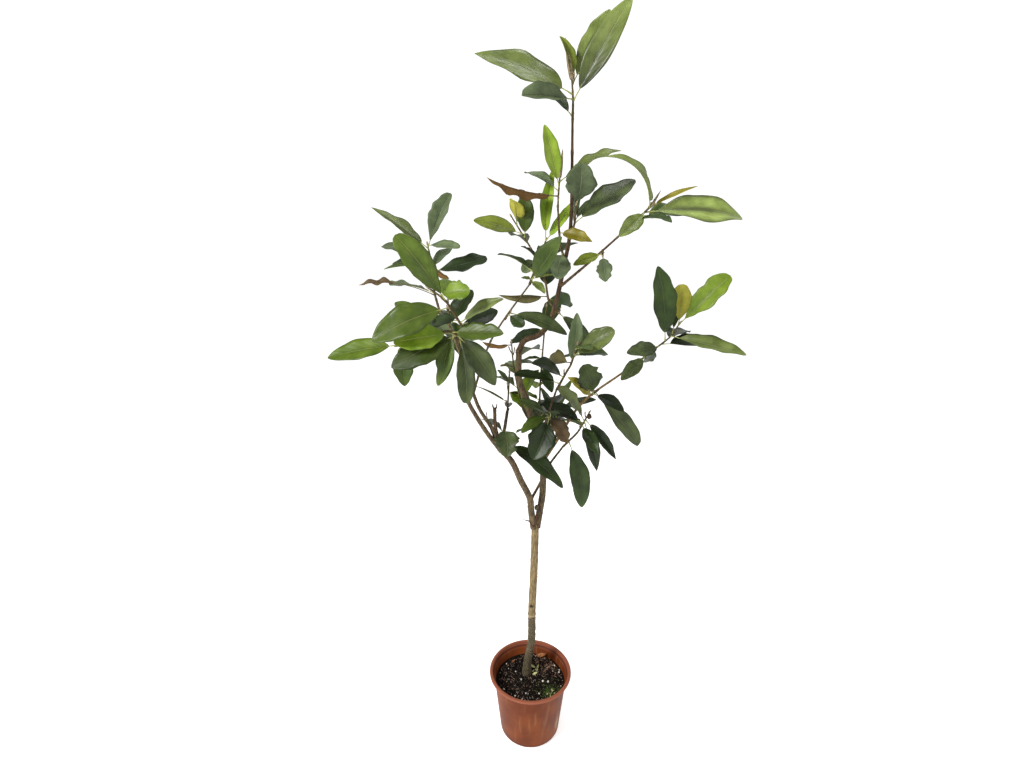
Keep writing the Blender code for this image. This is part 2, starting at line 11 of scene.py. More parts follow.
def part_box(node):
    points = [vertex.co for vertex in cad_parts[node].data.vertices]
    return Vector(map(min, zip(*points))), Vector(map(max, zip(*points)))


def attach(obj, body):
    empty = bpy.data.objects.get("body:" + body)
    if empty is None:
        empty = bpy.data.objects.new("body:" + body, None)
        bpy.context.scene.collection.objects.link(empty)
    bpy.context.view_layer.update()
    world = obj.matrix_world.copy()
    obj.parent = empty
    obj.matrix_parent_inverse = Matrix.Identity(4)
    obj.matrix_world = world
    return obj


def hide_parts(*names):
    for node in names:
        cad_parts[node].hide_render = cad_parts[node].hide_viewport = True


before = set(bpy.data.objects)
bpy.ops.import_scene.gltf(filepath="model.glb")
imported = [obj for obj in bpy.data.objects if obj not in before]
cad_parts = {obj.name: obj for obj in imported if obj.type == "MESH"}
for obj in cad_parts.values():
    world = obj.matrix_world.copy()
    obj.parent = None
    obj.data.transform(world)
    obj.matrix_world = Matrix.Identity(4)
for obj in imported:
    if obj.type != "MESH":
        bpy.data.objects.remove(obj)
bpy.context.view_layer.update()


# The pot. A nursery pot moulded in one from matte terracotta-coloured plastic. Its profile is turned:
# a recessed underside, a rounded heel, a tapered wall, a neck that flares out to the rolled lip, and
# inside it a step that the next pot of a stack would hang on. Handling has rubbed pale upright scuffs.
POT_STEPS = 144
POT_FLARE_RADIUS = 0.1125  # outside of the wall, where it flares out under the lip
POT_NECK_RADIUS = 0.1060   # outside of the wall, where the flare begins
POT_FOOT_RADIUS = 0.078
POT_HEEL = 0.010
POT_WALL = 0.002
POT_BEAD = 0.0006          # rounding of the step's inner edge
POT_FLOOR = 0.004
POT_RECESS = 0.0015        # of the underside, inside its foot ring
FOOT_RING = 0.010          # how wide the ring is that the pot stands on
FLARE_DEPTH = 0.0115       # from the rim down to the flare, the step inside the wall, and the neck
LEDGE_DEPTH = 0.019
NECK_DEPTH = 0.022
FLARE_BEND = 1.6           # over 1, so that the wall leaves its taper slowly
LIP_DEPTH = 0.008
LIP_WIDTH = 0.009
LIP_ROUND = 0.002
SHARP_ANGLE = 50
MERGE_REACH = 0.00001

# Colours of the pot in light from 0 to 255, and the heights and distances over which they change
CLAY_DARK = (92, 41, 14)
CLAY_PALE = (114, 57, 25)
CLAY_RUBBED = (132, 86, 56)
# the rim: dust, and a painted highlight where the rolled lip catches the light
CLAY_RIM_DUST_AND_HIGHLIGHT = (141, 83, 62)
CLAY_HEEL = (92, 46, 24)
# painted shadow: a dark ring on the inner wall under the step
PAINTED_STEP_SHADOW = (66, 26, 14)
CLAY_SCUFFED = (158, 142, 114)
HEEL_FADE = (0.004, 0.022)
RIM_FADE = (0.190, 0.199)
STEP_SHADOW_FADES = ((0.1935, 0.1955), (0.1985, 0.2005))
INNER_FADE = (0.1108, 0.1116)
SCUFF_PLACE = (0.074, -0.047, 0.052)
SCUFF_FADE = (0.010, 0.042)


def srgb(red, green, blue):
    """A screen colour of 0 to 255 as the linear colour that a socket takes."""
    return (*[((part / 255 + 0.055) / 1.055) ** 2.4 for part in (red, green, blue)], 1.0)


class Wire:
    """One output in a finish's node tree, on which sums can be written."""

    def __init__(self, tree, socket=None):
        self.tree = tree
        self.socket = socket

    def node(self, kind, settings=None, inputs=None, output=0):
        """Any other node, from its type, its settings, and the values or links of its sockets."""
        made = self.tree.nodes.new(kind)
        for name, value in (settings or {}).items():
            setattr(made, name, value)
        for name, value in (inputs or {}).items():
            if isinstance(value, Wire):
                self.tree.links.new(value.socket, made.inputs[name])
            else:
                made.inputs[name].default_value = value
        return Wire(self.tree, made.outputs[output])

    def maths(self, operation, other=0.0):
        return self.node("ShaderNodeMath", {"operation": operation}, {0: self, 1: other})

    def __add__(self, other):
        return self.maths("ADD", other)

    def __sub__(self, other):
        return self.maths("SUBTRACT", other)

    def __rsub__(self, other):
        return self * -1.0 + other

    def __mul__(self, other):
        return self.maths("MULTIPLY", other)

    __radd__ = __add__
    __rmul__ = __mul__

    def between(self, low, high):
        """0 up to the low value, 1 past the high one, and a smooth step from one to the other."""
        smooth = {"interpolation_type": "SMOOTHSTEP"}
        return self.node("ShaderNodeMapRange", smooth, {0: self, 1: low, 2: high})

    def paint(self, under, over):
        """The over colour laid on the under colour where this wire is 1."""
        return self.node("ShaderNodeMix", {"data_type": "RGBA"}, {0: self, 6: under, 7: over}, 2)

    def shade(self, colour):
        """A colour made darker or brighter by this wire."""
        return self.node("ShaderNodeVectorMath", {"operation": "SCALE"}, {0: colour, 3: self})

    def stretch(self, across, along):
        """This place, with patterns drawn out upright: a scale across, and another along +Z."""
        return self.node("ShaderNodeMapping", None, {0: self, 3: (across, across, along)})

    def speckle(self, scale, detail=2.0):
        """Soft random patches at this place, about 0.5 on average."""
        return self.node("ShaderNodeTexNoise", None, {"Vector": self, "Scale": scale, "Detail": detail})

    def part(self, axis):
        """One coordinate of this place: 0, 1 or 2 for x, y or z."""
        return self.node("ShaderNodeSeparateXYZ", None, {0: self}, axis)

    def near(self, point):
        """The distance of this place from a point."""
        return self.node("ShaderNodeVectorMath", {"operation": "DISTANCE"}, {0: self, 1: point}, 1)

    def into(self, shader, socket):
        self.tree.links.new(self.socket, shader.inputs[socket])

    def emboss(self, shader, depth):
        """Raise the surface where this wire is high, by up to a depth in metres."""
        self.node("ShaderNodeBump", None, {"Height": self, "Distance": depth}).into(shader, "Normal")


def new_finish(name, roughness, sheen):
    """A finish: its material, its shader, and a wire at the place on the object."""
    made = bpy.data.materials.new(name)
    made.use_nodes = True
    shader = made.node_tree.nodes["Principled BSDF"]
    shader.inputs["Roughness"].default_value = roughness
    shader.inputs["Specular IOR Level"].default_value = sheen
    return made, shader, Wire(made.node_tree).node("ShaderNodeTexCoord", output="Object")


def outward(bm):
    """The same closed shapes, with their faces turned out."""
    bmesh.ops.recalc_face_normals(bm, faces=bm.faces)
    return bm


def add_object(name, data):
    made = bpy.data.objects.new(name, data)
    bpy.context.scene.collection.objects.link(made)
    return made


def add_mesh(name, bm, *finishes):
    mesh = bpy.data.meshes.new(name)
    bm.to_mesh(mesh)
    bm.free()
    mesh.shade_smooth()
    mesh.set_sharp_from_angle(angle=math.radians(SHARP_ANGLE))
    for finish in finishes:
        mesh.materials.append(finish)
    return add_object(name, mesh)


def piece(name, bm, finishes, slot, *nodes):
    """Make a piece of the plant from a bmesh. It rides on the one body and stands for the nodes named."""
    made = add_mesh(name, bm, *finishes)
    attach(made, "root")
    if nodes:
        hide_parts(*nodes)
    return made


def arc(radius, height, reach, start, stop, steps):
    """Points of a turned profile round a centre, from one angle to another in degrees."""
    turns = [math.radians(start + (stop - start) * k / steps) for k in range(steps + 1)]
    return [(radius + reach * math.cos(a), height + reach * math.sin(a)) for a in turns]


def turned(profile, steps):
    """A profile of radius and height turned about the upright axis, closed and facing out."""
    bm = bmesh.new()
    verts = [bm.verts.new((radius, 0, height)) for radius, height in profile]
    edges = [bm.edges.new(pair) for pair in zip(verts, verts[1:])]
    bmesh.ops.spin(bm, geom=verts + edges, axis=(0, 0, 1), cent=(0, 0, 0), angle=2 * math.pi,
                   steps=steps, use_merge=True)
    bmesh.ops.remove_doubles(bm, verts=bm.verts, dist=MERGE_REACH)
    return outward(bm)


pot_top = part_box("pot")[1]
rim_radius, rim_height = pot_top.x, pot_top.z
wall_slope = (POT_NECK_RADIUS - POT_FOOT_RADIUS - POT_HEEL) / (rim_height - NECK_DEPTH - POT_HEEL)


def inner_radius(height):
    """The pot's inner wall at a height below its ledge, bevelled in its heel."""
    heel_radius = POT_FOOT_RADIUS + POT_HEEL - POT_WALL
    if height < POT_HEEL:
        return heel_radius - (POT_HEEL - height)
    return heel_radius + wall_slope * (height - POT_HEEL)


def flared(low_radius, low, high_radius, high, inset, steps):
    """A wall that leaves its taper slowly and bends out towards the lip, seen from one of its faces."""
    shares = [k / steps for k in range(steps + 1)]
    spread = high_radius - low_radius
    return [(low_radius + spread * share ** FLARE_BEND - inset, low + (high - low) * share)
            for share in shares]


def pot_profile():
    """From the middle of the underside out, up the wall, over the lip and down the inside."""
    lip_radius = LIP_DEPTH / 2
    lip_centre = rim_radius - lip_radius
    lip_height = rim_height - lip_radius
    mouth = rim_radius - LIP_WIDTH
    flare = rim_height - FLARE_DEPTH
    ledge = rim_height - LEDGE_DEPTH
    neck = rim_height - NECK_DEPTH
    ring = POT_FOOT_RADIUS - FOOT_RING
    points = [(0, POT_RECESS), (ring - POT_RECESS, POT_RECESS), (ring, 0)]
    points += arc(POT_FOOT_RADIUS, POT_HEEL, POT_HEEL, -90, -8, 8)
    points += flared(POT_NECK_RADIUS, neck, POT_FLARE_RADIUS, flare, 0.0, 6)
    points += arc(lip_centre, lip_height, lip_radius, -95, 90, 14)
    points += arc(mouth + LIP_ROUND, rim_height - LIP_ROUND, LIP_ROUND, 90, 180, 5)
    points += flared(POT_NECK_RADIUS, neck, POT_FLARE_RADIUS, flare, POT_WALL, 6)[:1:-1]
    points += [(inner_radius(ledge) + POT_BEAD, ledge), (inner_radius(ledge), ledge - POT_BEAD)]
    points += [(inner_radius(POT_HEEL), POT_HEEL), (inner_radius(POT_FLOOR), POT_FLOOR), (0, POT_FLOOR)]
    return points


def pot_finish():
    """Mottled clay, rubbed upright; dusty rim with a painted highlight; painted shadow under the step
    inside.
    """
    made, shader, place = new_finish("terracotta_plastic", 0.5, 0.08)
    mottle = place.speckle(16, 3)
    streaks = place.stretch(1, 0.06).speckle(70, 3)
    scuffed = streaks.between(0.52, 0.66) * (1 - place.near(SCUFF_PLACE).between(*SCUFF_FADE))
    rubbed = streaks.between(0.55, 0.70) * 0.45
    height = place.part(2)
    outside = place.stretch(1, 0).near((0, 0, 0)).between(*INNER_FADE)
    body = mottle.between(0.35, 0.65).paint(srgb(*CLAY_DARK), srgb(*CLAY_PALE))
    body = rubbed.paint(body, srgb(*CLAY_RUBBED))
    # Paler at the rim: dust, and a painted highlight on the rolled lip
    body = (height.between(*RIM_FADE) * 0.9).paint(body, srgb(*CLAY_RIM_DUST_AND_HIGHLIGHT))
    body = ((1 - height.between(*HEEL_FADE)) * 0.5).paint(body, srgb(*CLAY_HEEL))
    # A painted shadow: a dark ring on the inner wall, just under the step
    below, above = [height.between(*fade) for fade in STEP_SHADOW_FADES]
    body = (below * (1 - above) * (1 - outside) * 0.75).paint(body, srgb(*PAINTED_STEP_SHADOW))
    (scuffed * 0.55).paint(body, srgb(*CLAY_SCUFFED)).into(shader, "Base Color")
    (mottle * 0.16 + 0.42).into(shader, "Roughness")
    (place.speckle(900, 1) * 0.5 + streaks).emboss(shader, 0.0002)
    return made


piece("nursery_pot", turned(pot_profile(), POT_STEPS), [pot_finish()], "pot", "pot")


# The potting mix. Dark bark-based compost, lumpy on top and a little lower at the wall, with white
# perlite grains, crumbs and shreds of bark, a curled dead leaf, scraps of pale leaf by the trunk, and
# a patch of moss and seedlings at the front right. All of them lie on its surface.
SOIL_STEPS = 120
SOIL_RINGS = 44
SOIL_LUMPS = 0.0030
SOIL_DISH = 0.004
SOIL_CLEARANCE = 0.0006

soil_low, soil_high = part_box("soil")
soil_radius = inner_radius(soil_high.z - SOIL_DISH) - SOIL_CLEARANCE


def soil_height(x, y):
    """The lumpy surface of the mix."""
    reach = math.hypot(x, y)
    dish = SOIL_DISH * min(1.0, reach / soil_radius) ** 3
    lumps = noise.noise(Vector((x, y, 0.3)) * 55) + 0.6 * noise.noise(Vector((x, y, 1.7)) * 160)
    return soil_high.z - dish + SOIL_LUMPS * lumps * (1 - 0.7 * (reach / soil_radius) ** 8)


def build_mix():
    foot = inner_radius(soil_low.z) - SOIL_CLEARANCE
    top = soil_high.z - SOIL_DISH
    rings = [(soil_radius * (1 - k / SOIL_RINGS), top) for k in range(SOIL_RINGS + 1)]
    bm = turned([(0, soil_low.z), (foot, soil_low.z)] + rings, SOIL_STEPS)
    for vert in bm.verts:
        if vert.co.z > top - 0.001:
            vert.co.z = soil_height(vert.co.x, vert.co.y)
    return bm


def mix_finish():
    made, shader, place = new_finish("potting_mix", 0.9, 0.1)
    grains = place.speckle(420, 4)
    fibres = place.speckle(1500, 2)
    body = place.speckle(60, 3).between(0.35, 0.7).paint(srgb(8, 6, 5), srgb(26, 19, 15))
    body = (grains.between(0.62, 0.72) * 0.6).paint(body, srgb(74, 56, 44))
    (fibres.between(0.66, 0.72) * 0.8).paint(body, srgb(160, 138, 118)).into(shader, "Base Color")
    (grains + fibres * 0.5).emboss(shader, 0.003)
    return made


piece("potting_mix", build_mix(), [mix_finish()], "soil", "soil")


# The larger grains of perlite: place, and width in points
PERLITE = (
    (0.076, 0.047, 4.5), (0.088, 0.024, 4.5), (0.090, 0.034, 3.5), (0.037, -0.012, 4.5),
    (0.052, -0.013, 4.5), (-0.014, -0.055, 3.5), (-0.077, -0.039, 4.5), (-0.027, -0.006, 3.5),
    (-0.025, -0.075, 3.5), (-0.045, -0.065, 4.0), (-0.071, 0.056, 3.0), (-0.043, 0.024, 3.5),
    (0.024, -0.058, 4.0))
PERLITE_SCALE = 650        # points to a metre
PERLITE_BITS = 46
CRUMBS = 700
BROWN_CRUMBS = 260
FINE_GRAINS = 760
SHREDS = 170
SHRED_HEAP = (0.058, 0.050)
MOSS_TUFTS = 360
MOSS_PATCH = (0.058, -0.052)
TRUNK_FOOT = (-0.010, 0.020)
TRUNK_CLEARANCE = 0.014
WALL_CLEARANCE = 0.005

# Scraps of leaf on the mix: place, heading, length and width in millimetres, and how far they curl up
PALE_SCRAPS = (
    (0.009, 0.041, 160, 16, 8, 0.3), (0.020, 0.030, 290, 15, 8, 0.4), (0.010, 0.025, 250, 10, 5, 0.4),
    (0.014, 0.013, 15, 15, 9, 0.3), (0.024, 0.040, 60, 12, 6, 0.6), (0.003, 0.048, 140, 9, 5, 0.5))
BROWN_SCRAPS = (
    (0.036, 0.084, 345, 30, 18, 0.35), (-0.050, 0.064, 30, 12, 6, 0.3), (0.062, 0.074, 280, 11, 6, 0.4))
SCRAP_LIFT = 0.0016
SCRAP_WALL = 0.0004


def plain_finish(name, dark, pale, roughness, scale, sheen=0.3):
    """Two shades of a colour in soft patches, with a fine grain."""
    made, shader, place = new_finish(name, roughness, sheen)
    patches = place.speckle(scale, 3).between(0.35, 0.65)
    patches.paint(srgb(*dark), srgb(*pale)).into(shader, "Base Color")
    place.speckle(scale * 4, 2).emboss(shader, 0.0004)
    return made


def add_lump(bm, dice, place, length, flatness, slimness, rise=0.3):
    """One crumb at a place on the mix: a rough ball, squashed, drawn out and turned."""
    made = bmesh.ops.create_icosphere(bm, subdivisions=1, radius=0.5)["verts"]
    turn = dice.uniform(0, 2 * math.pi)
    lean = dice.uniform(-0.5, 0.5)
    height = soil_height(*place)
    for vert in made:
        x, y, z = vert.co * dice.uniform(0.75, 1.2) * length
        y, z = y * slimness, z * flatness
        x, z = x * math.cos(lean) - z * math.sin(lean), x * math.sin(lean) + z * math.cos(lean)
        vert.co = (place[0] + x * math.cos(turn) - y * math.sin(turn),
                   place[1] + x * math.sin(turn) + y * math.cos(turn),
                   height + z + length * flatness * rise)


def dealt_place(dice, centre=(0, 0), spread=None):
    """A place on the mix, clear of wall and trunk, evenly over it or about a centre."""
    while True:
        if spread:
            place = (dice.gauss(centre[0], spread), dice.gauss(centre[1], spread))
        else:
            place = (dice.uniform(-soil_radius, soil_radius), dice.uniform(-soil_radius, soil_radius))
        from_trunk = math.hypot(place[0] - TRUNK_FOOT[0], place[1] - TRUNK_FOOT[1])
        if from_trunk > TRUNK_CLEARANCE and math.hypot(*place) < soil_radius - WALL_CLEARANCE:
            return place


def build_perlite():
    dice = random.Random(3)
    bm = bmesh.new()
    for x, y, size in PERLITE:
        add_lump(bm, dice, (x, y), size / PERLITE_SCALE, flatness=0.8, slimness=0.85, rise=0.4)
    for _ in range(PERLITE_BITS):
        place = dealt_place(dice)
        add_lump(bm, dice, place, dice.uniform(0.0012, 0.0030), flatness=0.8, slimness=0.8, rise=0.4)
    return bm


def build_crumbs(seed, count, lengths, flatness, slimness):
    dice = random.Random(seed)
    bm = bmesh.new()
    for _ in range(count):
        add_lump(bm, dice, dealt_place(dice), dice.uniform(*lengths), flatness, slimness)
    return bm


def build_shreds():
    """Long flat shreds, two in three of them in the heap behind the trunk."""
    dice = random.Random(9)
    bm = bmesh.new()
    for k in range(SHREDS):
        place = dealt_place(dice, SHRED_HEAP, 0.022) if k % 3 else dealt_place(dice)
        add_lump(bm, dice, place, dice.uniform(0.004, 0.011), flatness=0.08, slimness=0.14, rise=1.5)
    return bm


def build_moss():
    """Low tufts, crowded towards the middle of the patch."""
    dice = random.Random(12)
    bm = bmesh.new()
    for k in range(MOSS_TUFTS):
        place = dealt_place(dice, MOSS_PATCH, 0.013 if k % 5 else 0.030)
        add_lump(bm, dice, place, dice.uniform(0.0016, 0.0042), flatness=0.9, slimness=0.8, rise=0.5)
    return bm


def build_scraps(scraps, seed, seedlings):
    """Scraps of leaf: small grids, cupped and curled up at one end, and a few dealt over the moss."""
    dice = random.Random(seed)
    scraps = list(scraps)
    for _ in range(seedlings):
        place = dealt_place(dice, MOSS_PATCH, 0.009)
        heading, length, width = dice.uniform(0, 360), dice.uniform(4, 8), dice.uniform(2, 4)
        scraps.append((*place, heading, length, width, dice.uniform(0.3, 1.0)))
    bm = bmesh.new()
    for x, y, heading, length, width, curl in scraps:
        turn = math.radians(heading)
        for vert in bmesh.ops.create_grid(bm, x_segments=8, y_segments=4, size=0.5)["verts"]:
            along, across = vert.co.x, vert.co.y * 2
            ahead = along * length / 1000
            aside = across * width / 2000 * math.cos(math.pi * along * 0.88)
            lift = (curl * length * (along + 0.5) ** 2 + 0.2 * width * across * across) / 1000 + SCRAP_LIFT
            vert.co = (x + ahead * math.cos(turn) - aside * math.sin(turn),
                       y + ahead * math.sin(turn) + aside * math.cos(turn),
                       soil_height(x, y) + lift)
    bmesh.ops.solidify(bm, geom=bm.faces, thickness=SCRAP_WALL)
    return outward(bm)


piece("perlite", build_perlite(),
      [plain_finish("perlite", (214, 204, 186), (240, 236, 226), roughness=0.8, scale=500)], "soil")
piece("dark_crumbs", build_crumbs(5, CRUMBS, (0.0020, 0.0060), flatness=0.55, slimness=0.7),
      [plain_finish("dark_bark_crumb", (7, 5, 4), (24, 17, 13), roughness=0.85, scale=300, sheen=0.1)],
      "soil")
piece("brown_crumbs", build_crumbs(6, BROWN_CRUMBS, (0.0020, 0.0050), flatness=0.4, slimness=0.6),
      [plain_finish("brown_bark_crumb", (30, 22, 17), (64, 47, 35), roughness=0.85, scale=300, sheen=0.1)],
      "soil")
piece("bark_shreds", build_shreds(),
      [plain_finish("bark_shred", (126, 92, 70), (186, 152, 126), roughness=0.8, scale=300)], "soil")
piece("fine_grains", build_crumbs(7, FINE_GRAINS, (0.0011, 0.0030), flatness=0.6, slimness=0.6),
      [plain_finish("fine_grain", (112, 90, 74), (192, 170, 148), roughness=0.8, scale=260)], "soil")
piece("moss", build_moss(),
      [plain_finish("moss", (34, 50, 18), (82, 100, 44), roughness=0.9, scale=260)], "soil")
piece("pale_scraps", build_scraps(PALE_SCRAPS, 14, seedlings=9),
      [plain_finish("pale_leaf_scrap", (140, 144, 84), (198, 194, 146), roughness=0.6, scale=200)], "soil")
piece("brown_scraps", build_scraps(BROWN_SCRAPS, 15, seedlings=0),
      [plain_finish("brown_leaf_scrap", (112, 66, 36), (160, 106, 66), roughness=0.7, scale=160)], "soil")


# The trunk and boughs. Green wood under thin bark: grey-brown and rough near the foot, smooth and tan
# above it, darker on the leader, with rings where old shoots began. Each limb is a grid wrapped round
# its path, pushed in and out by its bark, and its swollen foot runs into the limb that bears it.
GAP = 0.0003
COLLAR_REACH = 0.018
LIMB_STEPS = 26
THICK_FOOT = 0.008         # radius over which a limb has more sides
THICK_SIDES = 24
THIN_SIDES = 14
TRUNK_RINGS = (0.234, 0.363, 0.415)     # distances up the trunk
TRUNK_SPACING = 0.055      # mean distance from one ring to the next, here and on the boughs
BOUGH_SPACING = 0.032
ROUGH_BELOW = 0.405        # height up to which the trunk's bark is old and rough
SOIL_TOP = soil_high.z + GAP

# Each limb: radius at foot and tip, swelling of the foot, sides of the rough one that the leaves keep
# clear of, the bark, and the points that it runs through
LIMBS = {
    "trunk": (0.0114, 0.0102, 0.0034, 10, "trunk", (
        (-0.010, 0.020, SOIL_TOP), (-0.007, 0.020, 0.225), (0.003, 0.015, 0.305),
        (0.003, 0.010, 0.415), (0.007, 0.010, 0.550), (0.009, 0.008, 0.700))),
    "left_bough": (0.0092, 0.0070, 0.0010, 8, "bough", (
        (0.005, 0.006, 0.690), (-0.003, 0.000, 0.745), (-0.008, -0.010, 0.790), (-0.031, -0.030, 0.850),
        (-0.055, -0.050, 0.915), (-0.085, -0.070, 0.960))),
    "right_bough": (0.0092, 0.0074, 0.0010, 8, "bough", (
        (0.013, 0.008, 0.690), (0.022, 0.015, 0.745), (0.028, 0.020, 0.800), (0.025, 0.020, 0.900),
        (0.003, 0.020, 0.975), (-0.018, 0.025, 1.050), (-0.036, 0.030, 1.105), (-0.037, 0.030, 1.180))),
    "leader": (0.0070, 0.0026, 0.0008, 8, "leader", (
        (-0.039, 0.030, 1.170), (-0.024, 0.030, 1.202), (0.012, 0.030, 1.217), (0.035, 0.030, 1.245),
        (0.050, 0.030, 1.290), (0.067, 0.028, 1.380), (0.080, 0.020, 1.480), (0.076, 0.010, 1.690))),
    "left_front_bough": (0.0060, 0.0032, 0.0006, 6, "bough", (
        (-0.084, -0.069, 0.958), (-0.110, -0.090, 1.005), (-0.135, -0.105, 1.055), (-0.155, -0.120, 1.105),
        (-0.165, -0.150, 1.175), (-0.160, -0.175, 1.230), (-0.155, -0.180, 1.285))),
    "left_back_bough": (0.0052, 0.0026, 0.0006, 6, "bough", (
        (-0.081, -0.067, 0.954), (-0.100, -0.052, 1.000), (-0.130, -0.030, 1.040), (-0.150, -0.005, 1.080),
        (-0.200, 0.045, 1.215), (-0.235, 0.060, 1.280))),
    "pruned_stub": (0.0046, 0.0040, 0.0006, 6, "leader", (
        (-0.074, -0.063, 0.948), (-0.092, -0.076, 1.010), (-0.095, -0.080, 1.068))),
    "right_long_bough": (0.0042, 0.0024, 0.0008, 6, "shoot", (
        (0.026, 0.020, 0.878), (0.060, 0.030, 0.930), (0.130, 0.080, 1.020), (0.235, 0.125, 1.085),
        (0.290, 0.140, 1.120))),
    "low_right_bough": (0.0038, 0.0026, 0.0008, 6, "leader", (
        (-0.006, -0.006, 0.778), (0.018, 0.044, 0.795), (0.045, 0.055, 0.850), (0.080, 0.045, 0.910))),
    "centre_bough": (0.0034, 0.0022, 0.0006, 6, "leader", (
        (0.012, 0.020, 0.945), (0.030, -0.020, 1.010), (0.040, -0.050, 1.065), (0.050, -0.070, 1.110))),
    "rear_bough": (0.0040, 0.0026, 0.0008, 6, "bough", (
        (0.027, 0.020, 0.850), (0.040, 0.070, 0.875), (0.055, 0.140, 0.910))),
    "middle_bough": (0.0028, 0.0018, 0.0005, 5, "twig", (
        (-0.149, -0.006, 1.078), (-0.115, -0.020, 1.190), (-0.080, -0.040, 1.260),
        (-0.015, -0.060, 1.355))),
    "upper_right_bough": (0.0034, 0.0020, 0.0006, 6, "leader", (
        (0.060, 0.029, 1.335), (0.125, -0.010, 1.400), (0.205, -0.060, 1.485))),
}


def smooth_path(points, steps):
    """A smooth curve through the points, with a number of steps between each pair."""
    points = [Vector(point) for point in points]
    ends = [points[0] * 2 - points[1]] + points + [points[-1] * 2 - points[-2]]
    path = [points[0]]
    for before, start, stop, after in zip(ends, ends[1:], ends[2:], ends[3:]):
        leave = start + (stop - before) / 6
        arrive = stop - (after - start) / 6
        path.extend(interpolate_bezier(start, leave, arrive, stop, steps + 1)[1:])
    return path


def path_lengths(path):
    """The distance along the path at each of its points."""
    lengths = [0.0]
    for start, stop in zip(path, path[1:]):
        lengths.append(lengths[-1] + (stop - start).length)
    return lengths


def limb_radii(path, foot, tip, swelling):
    """An even taper with a swollen foot."""
    lengths = path_lengths(path)
    return [foot + (tip - foot) * d / lengths[-1] + swelling * math.exp(-d / COLLAR_REACH) for d in lengths]


def path_frames(path, level_foot=False):
    """At each point of a path the two directions square to it, turned as little as they can be."""
    ways = [(after - before).normalized() for before, after in
            zip([path[0]] + path[:-1], path[1:] + [path[-1]])]
    if level_foot:
        ways[0] = Vector((0, 0, 1))
    across = ways[0].orthogonal().normalized()
    frames, last = [], ways[0]
    for way in ways:
        across.rotate(last.rotation_difference(way))
        last = way
        frames.append((across.copy(), way.cross(across)))
    return frames


def tube_rings(path, radii, sides, level_foot=False):
    """Round sections square to the path."""
    turns = [2 * math.pi * k / sides for k in range(sides)]
    return [[centre + (across * math.cos(a) + over * math.sin(a)) * radius for a in turns]
            for centre, radius, (across, over) in zip(path, radii, path_frames(path, level_foot))]


def wrap_tube(bm, path, radii, sides, relief=None, level_foot=False):
    """Wrap a grid round a path as a closed limb. The relief gives how far each point stands out."""
    lengths = path_lengths(path)
    frames = path_frames(path, level_foot)
    rows = len(path) - 1
    grid = bmesh.ops.create_grid(bm, x_segments=sides, y_segments=rows, size=0.5)["verts"]
    for vert in grid:
        row = round((vert.co.y + 0.5) * rows)
        turn = 2 * math.pi * (vert.co.x + 0.5)
        across, over = frames[row]
        out = across * math.cos(turn) + over * math.sin(turn)
        radius = radii[row]
        if relief and radius:
            radius += relief(path[row], out, lengths[row], radius)
        vert.co = path[row] + out * radius
    bmesh.ops.remove_doubles(bm, verts=grid, dist=MERGE_REACH)


def rounded_ends(path, radii):
    """Draw both ends of a limb in to a point, half its radius past them."""
    foot = path[0] + (path[0] - path[1]).normalized() * radii[0] * 0.5
    tip = path[-1] + (path[-1] - path[-2]).normalized() * radii[-1] * 0.5
    return [foot] + path + [tip], [0.0] + radii + [0.0]


def bark_relief(dice, spacing, ridge, wrinkle, known=()):
    """Rings where shoots began, known ones and others at uneven distances, and wrinkles between them."""
    rings, at = [(at, ridge * 1.8, 0.0024) for at in known], dice.uniform(0.3, 0.9) * spacing
    while at < 1.2:
        rings.append((at, dice.uniform(0.4, 1.0) * ridge, dice.uniform(0.0010, 0.0022)))
        at += dice.uniform(0.5, 1.5) * spacing
    shift = dice.uniform(0, 50)

    def relief(point, out, length, radius):
        rise = sum(height * math.exp(-((length - at) / width) ** 2) for at, height, width in rings)
        old = min(1.0, max(0.0, (ROUGH_BELOW - point.z) / 0.05))
        spot = Vector((out.x * 1.6, out.y * 1.6 + shift, out.z * 1.6)) + Vector((0, 0, length * 160))
        grain = noise.noise(spot) + 0.5 * noise.noise(spot * 2.3)
        return rise + wrinkle * radius * (0.55 + 1.2 * old) * grain
    return relief


# Old bark: its dark and pale shades, its cracks, and the pale line where it meets the smooth bark
OLD_DARK = (50, 43, 31)
OLD_PALE = (114, 101, 76)
OLD_CRACK = (34, 29, 22)
OLD_EDGE = (150, 132, 100)

# Smooth bark of each kind: its dark and pale streaks, and its flecks
BARK_COLOURS = {
    "trunk": ((94, 79, 52), (132, 114, 78), (76, 64, 42)),
    "bough": ((58, 47, 32), (101, 85, 60), (42, 34, 24)),
    "leader": ((44, 32, 19), (84, 63, 38), (98, 82, 56)),
    "shoot": ((92, 70, 40), (134, 107, 66), (66, 48, 28)),
    "twig": ((52, 43, 22), (86, 74, 41), (37, 31, 17)),
}


